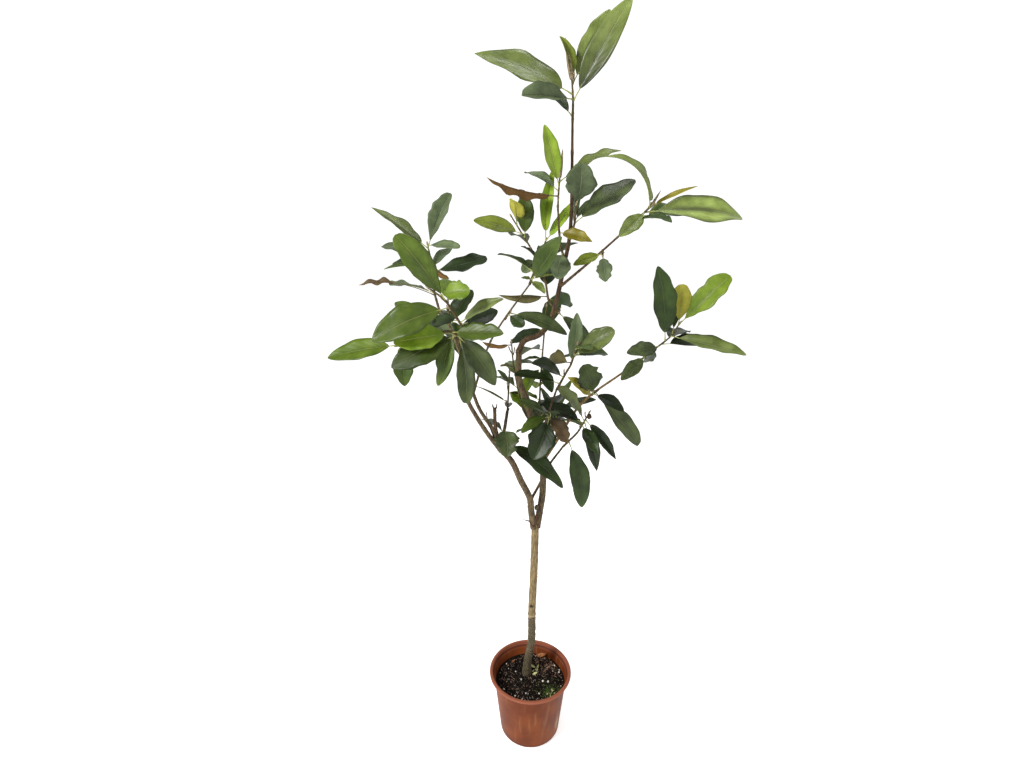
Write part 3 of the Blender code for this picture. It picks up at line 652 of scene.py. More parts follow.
def bark_finish(name, *colours):
    """Thin smooth bark with lengthwise streaks and flecks, old and grey near the ground."""
    smooth_dark, smooth_pale, fleck = [srgb(*colour) for colour in colours]
    made, shader, place = new_finish(name, 0.75, 0.25)
    height = place.part(2)
    streaks = place.stretch(1, 0.15).speckle(420, 3)
    patches = place.speckle(48, 3)
    rough = place.stretch(1, 0.6).speckle(520, 4)
    old = (ROUGH_BELOW - height + (patches - 0.5) * 0.02).between(0.0, 0.012)
    young_bark = streaks.between(0.35, 0.65).paint(smooth_dark, smooth_pale)
    young_bark = (patches.between(0.55, 0.7) * 0.5).paint(young_bark, fleck)
    old_bark = rough.between(0.40, 0.66).paint(srgb(*OLD_DARK), srgb(*OLD_PALE))
    old_bark = (1 - rough.between(0.34, 0.42)).paint(old_bark, srgb(*OLD_CRACK))
    body = old.paint(young_bark, old_bark)
    body = (old * (1 - old) * 3.2).paint(body, srgb(*OLD_EDGE))
    (rough.between(0.64, 0.74) * 0.5).paint(body, fleck).into(shader, "Base Color")
    (rough * (0.4 + old) + streaks * 0.5).emboss(shader, 0.0012)
    return made


BARKS = {kind: bark_finish(kind + "_bark", *colours) for kind, colours in BARK_COLOURS.items()}


def build_limbs():
    """One piece for each kind of bark, holding every limb that has it."""
    kinds = sorted({limb[4] for limb in LIMBS.values()})
    meshes = {bark: bmesh.new() for bark in kinds}
    names = {bark: [] for bark in kinds}
    for seed, (name, (foot, tip, swelling, _, bark, points)) in enumerate(LIMBS.items()):
        spacing, known = (TRUNK_SPACING, TRUNK_RINGS) if name == "trunk" else (BOUGH_SPACING, ())
        relief = bark_relief(random.Random(seed), spacing, ridge=0.0007, wrinkle=0.08, known=known)
        path = smooth_path(points, LIMB_STEPS)
        closed = rounded_ends(path, limb_radii(path, foot, tip, swelling))
        wrap_tube(meshes[bark], *closed, THICK_SIDES if foot > THICK_FOOT else THIN_SIDES, relief)
        names[bark].append(name)
    for bark, bm in meshes.items():
        piece(bark + "_wood", outward(bm), [BARKS[bark]], "bark", *names[bark])


build_limbs()


# The scars of the wood. Dead and cut spurs of dark wood, a knob in the fork and a knot on the trunk, and
# the red-brown seam where the two boughs grew together. All of them are fused to the bark.
SPUR_SIDES = 10
SEAM_SIDES = 8
SPURS = (                  # radius at foot and tip, and the points run through
    (0.0024, 0.0006, ((-0.001, 0.000, 0.712), (-0.013, -0.003, 0.716), (-0.025, -0.004, 0.721))),
    (0.0026, 0.0012, ((-0.095, -0.080, 1.064), (-0.098, -0.081, 1.071), (-0.100, -0.081, 1.078))),
    (0.0024, 0.0008, ((-0.095, -0.080, 1.064), (-0.091, -0.080, 1.070), (-0.089, -0.080, 1.080))),
    (0.0022, 0.0007, ((-0.092, -0.072, 0.975), (-0.107, -0.077, 1.020), (-0.111, -0.081, 1.036),
                      (-0.115, -0.084, 1.062))),
    (0.0048, 0.0036, ((-0.078, -0.064, 0.955), (-0.073, -0.066, 1.000), (-0.065, -0.056, 1.052))),
    (0.0030, 0.0020, ((-0.066, -0.056, 1.050), (-0.061, -0.056, 1.058))),
    (0.0030, 0.0018, ((-0.012, -0.012, 0.812), (-0.016, -0.019, 0.822))),
    (0.0018, 0.0008, ((0.024, 0.010, 0.860), (0.020, -0.002, 0.868))),
)
SEAM = ((-0.0075, -0.001, 0.712), (-0.002, -0.0055, 0.705), (0.005, -0.0052, 0.698),
        (0.0095, -0.0045, 0.709), (0.0125, -0.001, 0.738))
KNOBS = (                  # place, and half its width, depth and height in millimetres
    (0.0120, 0.0010, 0.754, 6.0, 5.0, 8.5), (0.0150, 0.0020, 0.745, 4.0, 5.0, 6.0),
    (0.0015, 0.0002, 0.436, 5.6, 1.7, 6.2), (0.1370, -0.0210, 1.023, 5.5, 4.5, 7.0),
)


def build_scars():
    dice = random.Random(21)
    bm = bmesh.new()
    for foot, tip, points in SPURS:
        path = smooth_path(points, 8)
        closed = rounded_ends(path, limb_radii(path, foot, tip, 0.0))
        wrap_tube(bm, *closed, SPUR_SIDES, bark_relief(dice, 0.012, ridge=0.0005, wrinkle=0.14))
    for x, y, z, width, depth, height in KNOBS:
        for vert in bmesh.ops.create_icosphere(bm, subdivisions=3, radius=0.001)["verts"]:
            out = vert.co * (1 + 0.30 * noise.noise(vert.co * 1600 + Vector((z * 90, 0, 0))))
            vert.co = (x + out.x * width, y + out.y * depth, z + out.z * height)
    dead_wood = bark_finish("dead_wood", (34, 26, 18), (70, 55, 38), (96, 80, 58))
    piece("dark_spurs", outward(bm), [dead_wood], "bark")
    bm = bmesh.new()
    path = smooth_path(SEAM, 8)
    wrap_tube(bm, *rounded_ends(path, limb_radii(path, 0.0012, 0.0016, 0.0)), SEAM_SIDES)
    seam = plain_finish("bark_seam", (54, 30, 16), (92, 54, 28), roughness=0.8, scale=400)
    piece("fork_seam", outward(bm), [seam], "bark")


build_scars()


# The leaves. Leathery blades, from bright yellow-green when young to very dark when old, glossy above
# and matte and paler beneath, with a few ochre, rust-brown and dead ones. Each grows on a stalk from
# the stem of its mass and is nudged clear of the limbs and of the other masses by a seeded rule.
STEM_FOOT_RADIUS = 0.0030
STEM_TIP_RADIUS = 0.0017
STEM_SIDES = 4
STALK_RADIUS = 0.0012
LEAF_THICKNESS = 0.012
LEAF_FOLD = 0.14
LEAF_CLEARANCE = 0.0006
LEAF_TIP = 0.0003
BLADE_STATIONS = (0.0, 0.2, 0.48, 0.8, 1.0)
BLADE_LEAN = 0.85
BLADE_FULLNESS = 0.8
NUDGES = 14
NUDGE_STEP = 3.0
GOLDEN_SHARE = 0.618
FAN = 120
SWAY = 8
DEALT_RISES = (-25, 40)
DEALT_LENGTHS = (11, 16)
DEALT_FACES = (-30, 10)
DEALT_KINDS = ("dark", "dark", "fresh", "grey")
DEALT_TINTS = {"dark": "dark", "fresh": "mid", "grey": "grey"}

# Width and stalk as parts of the length, and the bend of the blade in degrees
LEAF_KINDS = {
    "young": (0.35, 0.14, 14),
    "fresh": (0.34, 0.12, 18),
    "long": (0.28, 0.13, 16),
    "dark": (0.38, 0.13, 22),
    "broad": (0.56, 0.14, 24),
    "grey": (0.42, 0.14, 28),
    "slim": (0.20, 0.14, 12),
    "arch": (0.34, 0.10, 80),
    "ochre": (0.32, 0.14, 16),
    "rust": (0.30, 0.12, 24),
    "dead": (0.40, 0.16, 60),
    "shrivelled": (0.16, 0.55, 30),
    "bud": (0.14, 0.10, 4),
}

# Each mass: the points of its stem, its leaves as (place along the stem, heading, rise, length in
# centimetres, way the upper face looks, kind, tint), and how many more are dealt about a heading
MASSES = {
    "top_leaves": (((0.076, 0.010, 1.690), (0.075, 0.005, 1.735), (0.070, 0.000, 1.780)), (
        (0.45, 350, 60, 22, 50, "long", "sage"), (0.80, 25, 60, 17, 40, "long", "sage"),
        (0.60, 180, 21, 22, 42, "fresh", "sage"), (0.85, 180, 72, 9, 30, "young", "olive"),
        (0.92, 160, 78, 8, 0, "bud", "rust"), (0.50, 205, 2, 12, 60, "grey", "grey"),
        (0.12, 155, 40, 13, 20, "dark", "dark")), 0, 90),
    "leader_left_leaves": (((0.070, 0.026, 1.392), (0.055, 0.000, 1.445), (0.048, -0.008, 1.520),
                            (0.050, -0.010, 1.580)), (
        (0.90, 180, 75, 13, 50, "long", "bright"), (1.00, 0, 85, 6, 0, "bud", "rust"),
        (0.80, 165, 13, 17, 200, "rust", "rust"), (0.85, 130, 22, 12, 25, "grey", "grey"),
        (0.95, 5, 28, 15, 20, "fresh", "sage"), (0.40, 335, -12, 8, 60, "rust", "ochre"),
        (0.14, 260, -20, 12, 60, "grey", "grey")), 0, 90),
    "leader_right_leaves": (((0.079, 0.021, 1.465), (0.087, 0.012, 1.478), (0.090, 0.010, 1.520)), (
        (0.35, 20, 33, 18, 22, "dark", "slate"), (0.45, 60, 20, 15, 10, "fresh", "mid"),
        (1.00, 275, 62, 10, 80, "broad", "grey")), 1, 60),
    "upper_right_leaves": (((0.205, -0.060, 1.485), (0.225, -0.080, 1.510), (0.235, -0.085, 1.520)), (
        (0.95, 210, 40, 16, 30, "arch", "sage"), (1.00, 0, 60, 4, 0, "bud", "khaki"),
        (1.00, 345, 25, 10, 35, "ochre", "olive"), (0.70, 10, -2, 23, 45, "fresh", "sage"),
        (0.30, 300, 0, 10, 30, "dark", "dark"), (0.70, 220, -30, 9, 45, "fresh", "sage"),
        (0.45, 30, -4, 19, 20, "dark", "mid")), 0, 90),
    "upper_right_inner_leaves": (((0.149, -0.025, 1.426), (0.146, -0.048, 1.418)), (
        (0.95, 300, -75, 6, 60, "broad", "grey"), (0.85, 190, -18, 7, 60, "young", "olive")), 0, 90),
    "right_tip_leaves": (((0.290, 0.140, 1.120), (0.330, 0.150, 1.150), (0.370, 0.160, 1.180),
                          (0.390, 0.165, 1.210)), (
        (0.60, 150, 80, 20, 45, "fresh", "dark"), (1.00, 70, 75, 11, 200, "ochre", "ochre"),
        (1.00, 345, 50, 18, 50, "young", "bright"), (0.75, 345, -10, 20, 25, "fresh", "sage"),
        (0.50, 15, -10, 22, 15, "dark", "deep"), (0.45, 215, 0, 12, 40, "dark", "slate"),
        (0.35, 100, -40, 10, 190, "rust", "dark"), (0.12, 215, -30, 10, 45, "dark", "slate"),
        (0.80, 60, 58, 14, 0, "dark", "dark"), (0.65, 50, 0, 14, 0, "dark", "dark")), 0, 90),
    "right_inner_leaves": (((0.175, 0.101, 1.050), (0.158, 0.078, 1.045)), (
        (0.55, 350, -48, 19, 40, "long", "slate"), (0.90, 335, -22, 9, 45, "dark", "deep"),
        (0.95, 235, 58, 11, 60, "broad", "mid"), (1.00, 215, 36, 11, 40, "ochre", "olive"),
        (0.75, 105, -5, 9, 10, "dark", "dark")), 0, 90),
    "low_right_leaves": (((0.080, 0.045, 0.910), (0.095, 0.030, 0.935), (0.115, 0.010, 0.970),
                          (0.135, -0.020, 1.030)), (
        (0.20, 325, -75, 19, 50, "long", "dark"), (0.80, 30, -72, 16, 50, "slim", "deep"),
        (0.85, 345, -50, 13, 40, "slim", "deep"), (0.70, 295, -30, 9, 30, "dark", "dark"),
        (0.80, 215, 50, 14, 30, "grey", "sage"), (0.75, 165, 20, 12, 20, "dark", "deep")), 0, 90),
    "centre_low_leaves": (((0.034, -0.034, 1.035), (0.036, -0.065, 1.038)), (
        (0.90, 235, -50, 11, 60, "broad", "dark"), (0.70, 205, -20, 8, 30, "dark", "mid"),
        (0.60, 210, 35, 10, 30, "grey", "mid"), (0.75, 315, -40, 8, 30, "dead", "dead"),
        (1.00, 260, 30, 12, 40, "dark", "deep")), 0, 90),
    "centre_front_leaves": (((0.050, -0.070, 1.110), (0.070, -0.090, 1.160), (0.080, -0.100, 1.185),
                             (0.090, -0.110, 1.230)), (
        (0.65, 125, -10, 9, 45, "grey", "khaki"), (0.30, 220, 30, 11, 40, "dark", "deep"),
        (0.60, 0, 85, 12, 40, "long", "grey"), (0.80, 335, 38, 11, 45, "fresh", "sage"),
        (0.80, 30, -5, 10, 20, "dark", "dark"), (0.92, 285, 15, 9, 20, "dark", "mid"),
        (0.15, 170, 10, 11, 20, "grey", "dark")), 0, 90),
    "elbow_leaves": (((0.048, 0.030, 1.277), (0.056, 0.004, 1.278)), (
        (0.90, 320, -38, 13, 30, "long", "slate"),), 0, 90),
    "middle_leaves": (((-0.015, -0.060, 1.355), (0.005, 0.000, 1.395), (0.025, 0.045, 1.440)), (
        (0.10, 315, 50, 13, 50, "dark", "mid"), (0.14, 340, 12, 6, 0, "slim", "bright"),
        (0.10, 300, -20, 6, 40, "young", "sage"), (0.12, 140, 5, 3, 30, "young", "mid"),
        (1.00, 50, 80, 17, 30, "slim", "bright"), (1.00, 20, 50, 12, 30, "ochre", "bright")), 2, 110),
    "middle_inner_leaves": (((-0.071, -0.043, 1.272), (-0.060, -0.056, 1.290)), (
        (1.00, 350, -18, 14, 35, "long", "slate"), (0.80, 320, -25, 5, 50, "broad", "dark")), 0, 90),
    "upper_back_leaves": (((0.050, 0.030, 1.282), (0.035, 0.048, 1.300), (0.025, 0.070, 1.350),
                           (0.000, 0.090, 1.405), (-0.055, 0.130, 1.490)), (
        (0.15, 180, 0, 12, 120, "slim", "khaki"), (0.80, 165, 15, 13, 40, "young", "olive"),
        (0.76, 180, 88, 11, 40, "dark", "mid"), (0.90, 265, 45, 9, 40, "ochre", "ochre"),
        (0.54, 240, 55, 6, 20, "dark", "deep"), (0.52, 230, -25, 6, 60, "broad", "grey"),
        (0.12, 40, -10, 8, 50, "broad", "dark")), 3, 75),
    "left_low_leaves": (((-0.157, -0.179, 1.262), (-0.185, -0.198, 1.282), (-0.245, -0.170, 1.260),
                         (-0.295, -0.150, 1.240)), (
        (0.18, 195, -6, 12, 55, "young", "lime"), (0.10, 198, -22, 15, 55, "fresh", "mid"),
        (0.95, 280, -70, 9, 30, "dark", "mid"), (1.00, 180, -10, 16, 40, "young", "lime"),
        (0.16, 180, -72, 12, 50, "long", "fresh"), (0.10, 335, -48, 13, 55, "dark", "slate"),
        (0.06, 290, -72, 14, 50, "long", "slate"), (0.14, 215, -70, 10, 40, "dark", "mid"),
        (0.20, 335, 5, 12, 50, "young", "fresh"), (0.90, 135, -60, 6, 40, "young", "fresh")), 1, 130),
    "left_top_leaves": (((-0.155, -0.180, 1.285), (-0.180, -0.200, 1.335), (-0.190, -0.205, 1.350),
                         (-0.215, -0.210, 1.370)), (
        (0.50, 195, -20, 17, 55, "dark", "fresh"), (0.08, 30, 14, 9, 50, "dark", "deep"),
        (0.12, 340, 32, 11, 35, "long", "sage"), (0.18, 145, -15, 9, 40, "dark", "dark"),
        (0.80, 335, 12, 7, 60, "broad", "lime"), (0.65, 200, 55, 16, 55, "fresh", "fresh")), 0, 90),
    "upper_left_leaves": (((-0.235, 0.060, 1.280), (-0.245, 0.070, 1.320), (-0.250, 0.085, 1.380),
                           (-0.260, 0.100, 1.425)), (
        (0.94, 170, 35, 17, 20, "long", "sage"), (0.97, 20, 65, 14, 50, "fresh", "grey"),
        (1.00, 320, 2, 11, 35, "grey", "grey"), (0.57, 355, 14, 14, 40, "dark", "deep"),
        (0.63, 55, 30, 9, 20, "dark", "grey"), (0.74, 160, 15, 14, 20, "dark", "grey"),
        (0.69, 210, 5, 10, 20, "dark", "dark"), (0.65, 315, -20, 7, 190, "rust", "rust"),
        (0.19, 180, 10, 19, 20, "shrivelled", "dead")), 3, 145),
    "left_rear_leaves": (((-0.170, 0.015, 1.135), (-0.190, 0.080, 1.180), (-0.215, 0.140, 1.220),
                          (-0.225, 0.190, 1.270)), (
        (1.00, 100, 25, 12, 0, "fresh", "fresh"),), 9, 90),
    "inner_left_leaves": (((-0.068, -0.058, 0.936), (-0.072, -0.066, 1.000), (-0.065, -0.055, 1.055),
                           (-0.060, -0.050, 1.145)), (
        (0.18, 345, -35, 18, 25, "long", "dark"), (0.36, 275, -35, 8, 60, "broad", "slate"),
        (0.66, 155, 20, 9, 0, "slim", "grey"), (0.88, 130, 30, 5, 30, "fresh", "slate")), 2, 120),
    "back_leaves": (((0.021, 0.020, 0.910), (0.018, 0.060, 0.985), (0.020, 0.090, 1.060),
                     (0.025, 0.110, 1.135), (0.035, 0.130, 1.265)), (
        (0.59, 295, -40, 8, 40, "dark", "dark"), (0.52, 220, 20, 8, 10, "slim", "mid"),
        (0.65, 210, 5, 6, 10, "slim", "dark"), (0.86, 195, -20, 10, 35, "dark", "deep")), 7, 90),
    "back_left_leaves": (((-0.004, 0.022, 0.990), (-0.020, 0.045, 1.005), (-0.035, 0.060, 1.050),
                          (-0.050, 0.070, 1.130), (-0.055, 0.080, 1.180)), (
        (0.73, 225, 15, 5, 20, "dark", "khaki"), (1.00, 150, -5, 9, 190, "rust", "rust")), 5, 90),
    "rear_leaves": (((0.055, 0.140, 0.910), (0.070, 0.190, 0.925), (0.085, 0.220, 0.945)), (
        (1.00, 20, 10, 12, 30, "dark", "dark"),), 7, 90),
}


def point_along(path, share):
    """The point at a share of the path's length."""
    lengths = path_lengths(path)
    wanted = share * lengths[-1]
    for start, stop, low, high in zip(path, path[1:], lengths, lengths[1:]):
        if wanted <= high:
            return start.lerp(stop, (wanted - low) / (high - low))
    return path[-1]


def fat_copy(path, radii, sides):
    """A limb grown by the clearance all round and past both ends."""
    flat = math.cos(math.pi / sides)
    radii = [radius + GAP / flat for radius in radii]
    path = list(path)
    path[0] = path[0] + (path[0] - path[1]).normalized() * GAP
    path[-1] = path[-1] + (path[-1] - path[-2]).normalized() * GAP
    return tube_rings(path, radii, sides)


def ring_tree(rings):
    """A search tree of the closed solid over a row of rings."""
    bm = bmesh.new()
    loops = [[bm.verts.new(point) for point in ring] for ring in rings]
    count = len(loops[0])
    for low, high in zip(loops, loops[1:]):
        for i in range(count):
            j = (i + 1) % count
            bm.faces.new((low[i], low[j], high[j], high[i]))
    bm.faces.new(reversed(loops[0]))
    bm.faces.new(loops[-1])
    tree = BVHTree.FromBMesh(bm)
    bm.free()
    return tree


def direction(heading, rise):
    """The unit vector of a heading and a rise in degrees."""
    turn, lift = math.radians(heading), math.radians(rise)
    return Vector((math.cos(turn) * math.cos(lift), math.sin(turn) * math.cos(lift), math.sin(lift)))


def leaf_section(leaf, share):
    """The centre, side, up and half width of a leaf at a share of its length.

    The midrib is an arc whose chord has the heading and the rise, arched towards the upper face.
    """
    root, heading, rise, length, face, kind = leaf
    ratio, stalk, bend = LEAF_KINDS[kind]
    axis = direction(heading, rise)
    tilt = math.radians(face)
    look = Vector((0, -math.sin(tilt), math.cos(tilt)))
    normal = (look - axis * look.dot(axis)).normalized()
    side = axis.cross(normal)
    bend = math.radians(bend)
    radius = 0.5 * length / math.sin(bend / 2)
    turn = (share - 0.5) * bend
    centre = (root + axis * (length / 2 + radius * math.sin(turn))
              + normal * radius * (math.cos(turn) - math.cos(bend / 2)))
    up = normal * math.cos(turn) + axis * math.sin(turn)
    blade = max(0.0, (share - stalk) / (1 - stalk))
    half = STALK_RADIUS + ratio * length / 2 * math.sin(math.pi * blade ** BLADE_LEAN) ** BLADE_FULLNESS
    return centre, side, up, half


def leaf_rings(leaf, spare):
    """The rough leaf that keeps its space: thin diamond sections, folded along the midrib."""
    length, stalk = leaf[3], LEAF_KINDS[leaf[5]][1]
    rings = []
    for share in [0.0] + [stalk + (1 - stalk) * t for t in BLADE_STATIONS]:
        centre, side, up, half = leaf_section(leaf, share)
        if share == 1.0:
            half = LEAF_TIP
        thick = max(STALK_RADIUS, LEAF_THICKNESS * length / 2)
        if share in (0.0, 1.0):
            thick = min(half, STALK_RADIUS)
        lift = up * (half - STALK_RADIUS) * LEAF_FOLD
        half += spare
        thick += spare
        rings.append([centre + side * half + lift, centre + up * thick,
                      centre - side * half + lift, centre - up * thick])
    return rings


def dealt_leaves(count, heading, dice):
    """Leaves that a seeded rule deals round a heading, spread along a stem."""
    for k in range(count):
        swing = (((k + 1) * GOLDEN_SHARE) % 1 - 0.5) * FAN
        place = (k + 1) / (count + 1.5)
        way = heading + swing + dice.uniform(-SWAY, SWAY)
        rise, length = dice.uniform(*DEALT_RISES), dice.uniform(*DEALT_LENGTHS)
        face = dice.uniform(*DEALT_FACES)
        kind = dice.choice(DEALT_KINDS)
        yield place, way, rise, length, face, kind, DEALT_TINTS[kind]


def grow_mass(seed, path, leaves, extra, heading, limbs, others):
    """The leaves of a mass, each with its tint, nudged clear of the limbs and of other masses."""
    dice = random.Random(seed)
    grown = []
    for place, way, rise, size, face, kind, tint in list(leaves) + list(dealt_leaves(extra, heading, dice)):
        root = point_along(path, min(place, 0.995))
        for nudge in range(NUDGES):
            reach = nudge * NUDGE_STEP
            turn, lift = dice.uniform(-reach, reach), dice.uniform(-reach, reach)
            leaf = (root, way + turn, rise + lift, size / 100, face, kind)
            tree = ring_tree(leaf_rings(leaf, LEAF_CLEARANCE))
            if not any(tree.overlap(other) for other in limbs + others):
                grown.append((leaf, tint))
                break
    return grown


def grow_crown():
    """Every leaf of the crown, mass by mass, as the solids have them."""
    limbs = []
    for foot, tip, swelling, sides, _, points in LIMBS.values():
        path = smooth_path(points, 2)
        limbs.append(ring_tree(fat_copy(path, limb_radii(path, foot, tip, swelling), sides)))
    others, crown = [], {}
    for seed, (name, (points, leaves, extra, heading)) in enumerate(MASSES.items()):
        path = smooth_path(points, 2)
        crown[name] = grow_mass(seed, path, leaves, extra, heading, limbs, others)
        stem = tube_rings(path, limb_radii(path, STEM_FOOT_RADIUS, STEM_TIP_RADIUS, 0.0), STEM_SIDES)
        others += [ring_tree(stem)] + [ring_tree(leaf_rings(leaf, 0.0)) for leaf, _ in crown[name]]
    return crown


crown = grow_crown()

# Each tint: darker and paler shade of the upper face, its ribs, the under face, and the upper's roughness.
# The greyer greens, sage, slate and grey, are partly their own colour and partly painted sheen.
TINTS = {
    "bright": ((92, 118, 20), (126, 147, 44), (166, 178, 96), (108, 128, 54), 0.42),
    "lime": ((76, 100, 14), (109, 130, 36), (152, 164, 84), (98, 116, 48), 0.41),
    "fresh": ((62, 82, 18), (93, 112, 37), (140, 152, 80), (90, 106, 48), 0.40),
    "sage": ((80, 92, 40), (112, 125, 66), (152, 160, 106), (98, 108, 64), 0.34),
    "mid": ((46, 64, 14), (71, 88, 28), (116, 128, 64), (74, 90, 42), 0.40),
    "dark": ((28, 42, 11), (46, 63, 21), (80, 94, 48), (52, 64, 30), 0.42),
    "deep": ((19, 30, 9), (33, 46, 17), (60, 72, 38), (39, 50, 24), 0.44),
    "slate": ((40, 49, 24), (66, 77, 41), (98, 108, 66), (64, 74, 44), 0.44),
    "grey": ((58, 70, 42), (88, 100, 68), (124, 134, 96), (88, 98, 70), 0.50),
    "olive": ((72, 84, 12), (101, 112, 30), (144, 150, 70), (94, 102, 40), 0.42),
    "khaki": ((76, 72, 38), (108, 102, 60), (136, 128, 86), (100, 92, 60), 0.55),
    "ochre": ((114, 106, 16), (152, 142, 42), (182, 172, 86), (156, 152, 60), 0.44),
    "rust": ((76, 49, 18), (112, 77, 34), (130, 96, 54), (98, 72, 36), 0.52),
    "dead": ((60, 46, 27), (92, 73, 45), (110, 90, 60), (82, 66, 42), 0.65),
}
BLADE_ROWS = 24
BLADE_COLUMNS = 8
BLADE_DEPTH = 0.0006
EVENING = 0.6              # how far a blade's rows crowd towards its two ends
VEINS = 9                  # on each side of a blade
VEIN_SLANT = 5.0
UPPER_SHEEN = 0.24
BENEATH_DARKER = 0.78
# Painted light in a blade's colour: sheen between midrib and margin; shade at midrib, margins, foot, one
# side
PAINTED_SHEEN = 0.32               # how much paler a blade is midway between its midrib and its margin
PAINTED_SHEEN_MEAN = 0.64
FADE = 0.24                # how much darker it is at its foot than at its tip
SIDE_SHADE = 0.10          # how much its two sides differ
WIZENED = ("dead", "shrivelled", "rust")

# How a blade's outline is drawn: its lean, over 1 for widest past the middle, and how full it is at its
# foot and at its tip, under 0.6 for blunt and over 0.9 for drawn out
OUTLINES = {"plain": (0.90, 0.85, 0.68), "blunt": (1.20, 0.95, 0.42), "full": (1.15, 0.90, 0.62),
            "pointed": (0.80, 0.70, 1.00)}
EDGE_LUMPS = 7             # how often an uneven margin goes in and out
KIND_OUTLINES = {"broad": "blunt", "grey": "blunt", "dark": "plain", "fresh": "plain", "young": "plain",
                 "long": "plain"}

# Leaves that stand out by their habit, by mass and number: outline, width beside others of the kind, how
# uneven the margin is (edge), fold at the midrib, ripple and its waves, twist, sideways bow, shade (partly
# its own tone, partly painted light and shade for how it lies in the light), how much it darkens to the
# foot (fade, painted shade), the painted sheen between the ribs, and a tint other than its kind's
MARKED = {
    "top_leaves": {
        0: dict(outline="plain", ripple=0.05, fold=0.30, width=0.94, edge=0.03, twist=0.0,
                shade=0.68, fade=1.6),
        1: dict(shade=1.15),
        2: dict(outline="pointed", ripple=0.10, waves=2.2, fold=0.24, edge=0.05, shade=0.70),
        3: dict(fold=0.9),
        5: dict(outline="blunt", fold=0.70, twist=0.0)},
    "leader_left_leaves": {
        0: dict(shade=0.90),
        2: dict(ripple=0.14, waves=3.4, outline="pointed", width=1.10, shade=0.80, bow=0.0),
        3: dict(width=0.75, shade=1.15),
        4: dict(width=0.85, outline="full", shade=0.74),
        5: dict(width=1.25, shade=0.66, ripple=0.15),
        6: dict(shade=1.35)},
    "leader_right_leaves": {
        0: dict(shade=1.15, edge=0.35),
        1: dict(width=0.4),
        2: dict(outline="blunt", ripple=0.10, waves=4.0, edge=0.3, width=1.22, shade=0.80),
        3: dict(width=0.5)},
    "upper_right_leaves": {
        0: dict(outline="pointed", fold=0.4, width=0.75, twist=0.0, shade=1.0),
        2: dict(width=0.38, tint="ochre", shade=0.75),
        3: dict(outline="full", edge=0.04, fold=0.2, width=1.1, shade=1.4, painted_sheen=1.2),
        5: dict(width=1.15, shade=1.0)},
    "upper_right_inner_leaves": {0: dict(edge=0.4, outline="plain", shade=1.0)},
    "right_tip_leaves": {
        1: dict(width=1.7, shade=1.08, outline="blunt"),
        2: dict(outline="blunt", fold=0.35, shade=0.74, edge=0.3),
        3: dict(width=0.9, shade=0.95),
        5: dict(shade=1.15),
        7: dict(shade=1.4),
        8: dict(width=0.45)},
    "right_inner_leaves": {
        0: dict(outline="blunt", edge=0.05, shade=1.25),
        2: dict(edge=0.4, shade=0.62),
        3: dict(shade=1.0, width=1.1, tint="ochre")},
    "low_right_leaves": {4: dict(width=0.75, shade=0.62)},
    "centre_low_leaves": {
        0: dict(edge=0.25, outline="plain", ripple=0.03, width=1.1, shade=0.50),
        2: dict(width=0.6),
        3: dict(edge=0.6, ripple=0.40, waves=2.6, shade=0.78, width=1.3)},
    "centre_front_leaves": {
        0: dict(width=1.5, outline="blunt"),
        3: dict(width=1.3, outline="blunt", shade=0.60),
        6: dict(width=0.6)},
    "middle_leaves": {
        0: dict(shade=0.8, width=1.1, fold=0.4),
        4: dict(width=0.8, ripple=0.2),
        5: dict(width=0.65, shade=1.3),
        6: dict(width=0.5)},
    "upper_back_leaves": {
        1: dict(shade=0.84),
        3: dict(shade=1.05, width=1.6, outline="blunt")},
    "left_low_leaves": {
        0: dict(shade=1.25, width=1.3, twist=0.0, fold=0.16),
        1: dict(width=1.25, twist=0.0, fold=0.16, shade=0.50),
        2: dict(width=1.3),
        3: dict(shade=0.62, edge=0.05, ripple=0.05),
        4: dict(shade=0.85),
        5: dict(ripple=0.12, waves=3.0, shade=0.88),
        6: dict(outline="blunt"),
        8: dict(shade=0.50, edge=0.3, ripple=0.05)},
    "left_top_leaves": {
        0: dict(ripple=0.09, fold=0.26, shade=0.60, width=1.08),
        2: dict(shade=0.80),
        4: dict(edge=0.3, shade=0.84),
        5: dict(outline="blunt", fold=0.30, shade=0.80)},
    "upper_left_leaves": {
        0: dict(outline="pointed", edge=0.3, width=0.85, shade=0.55),
        1: dict(outline="blunt", edge=0.25, fold=0.6, shade=0.92),
        2: dict(width=0.65),
        3: dict(ripple=0.12, waves=2.4, outline="blunt", shade=1.1),
        4: dict(shade=0.9),
        5: dict(outline="blunt"),
        8: dict(ripple=0.5, waves=2.2, width=0.7)},
    "inner_left_leaves": {
        1: dict(outline="plain", edge=0.4, ripple=0.12, width=1.3),
        2: dict(width=0.25),
        3: dict(width=0.6),
        4: dict(width=0.5),
        5: dict(width=0.4)},
    "elbow_leaves": {0: dict(shade=0.72)},
    "back_left_leaves": {2: dict(tint="lime"), 3: dict(tint="lime"), 5: dict(tint="lime")},
    "back_leaves": {6: dict(tint="lime", shade=0.85), 7: dict(tint="lime", shade=0.85)},
    "rear_leaves": {0: dict(width=0.6), 6: dict(width=0.5), 7: dict(width=0.5)},
}


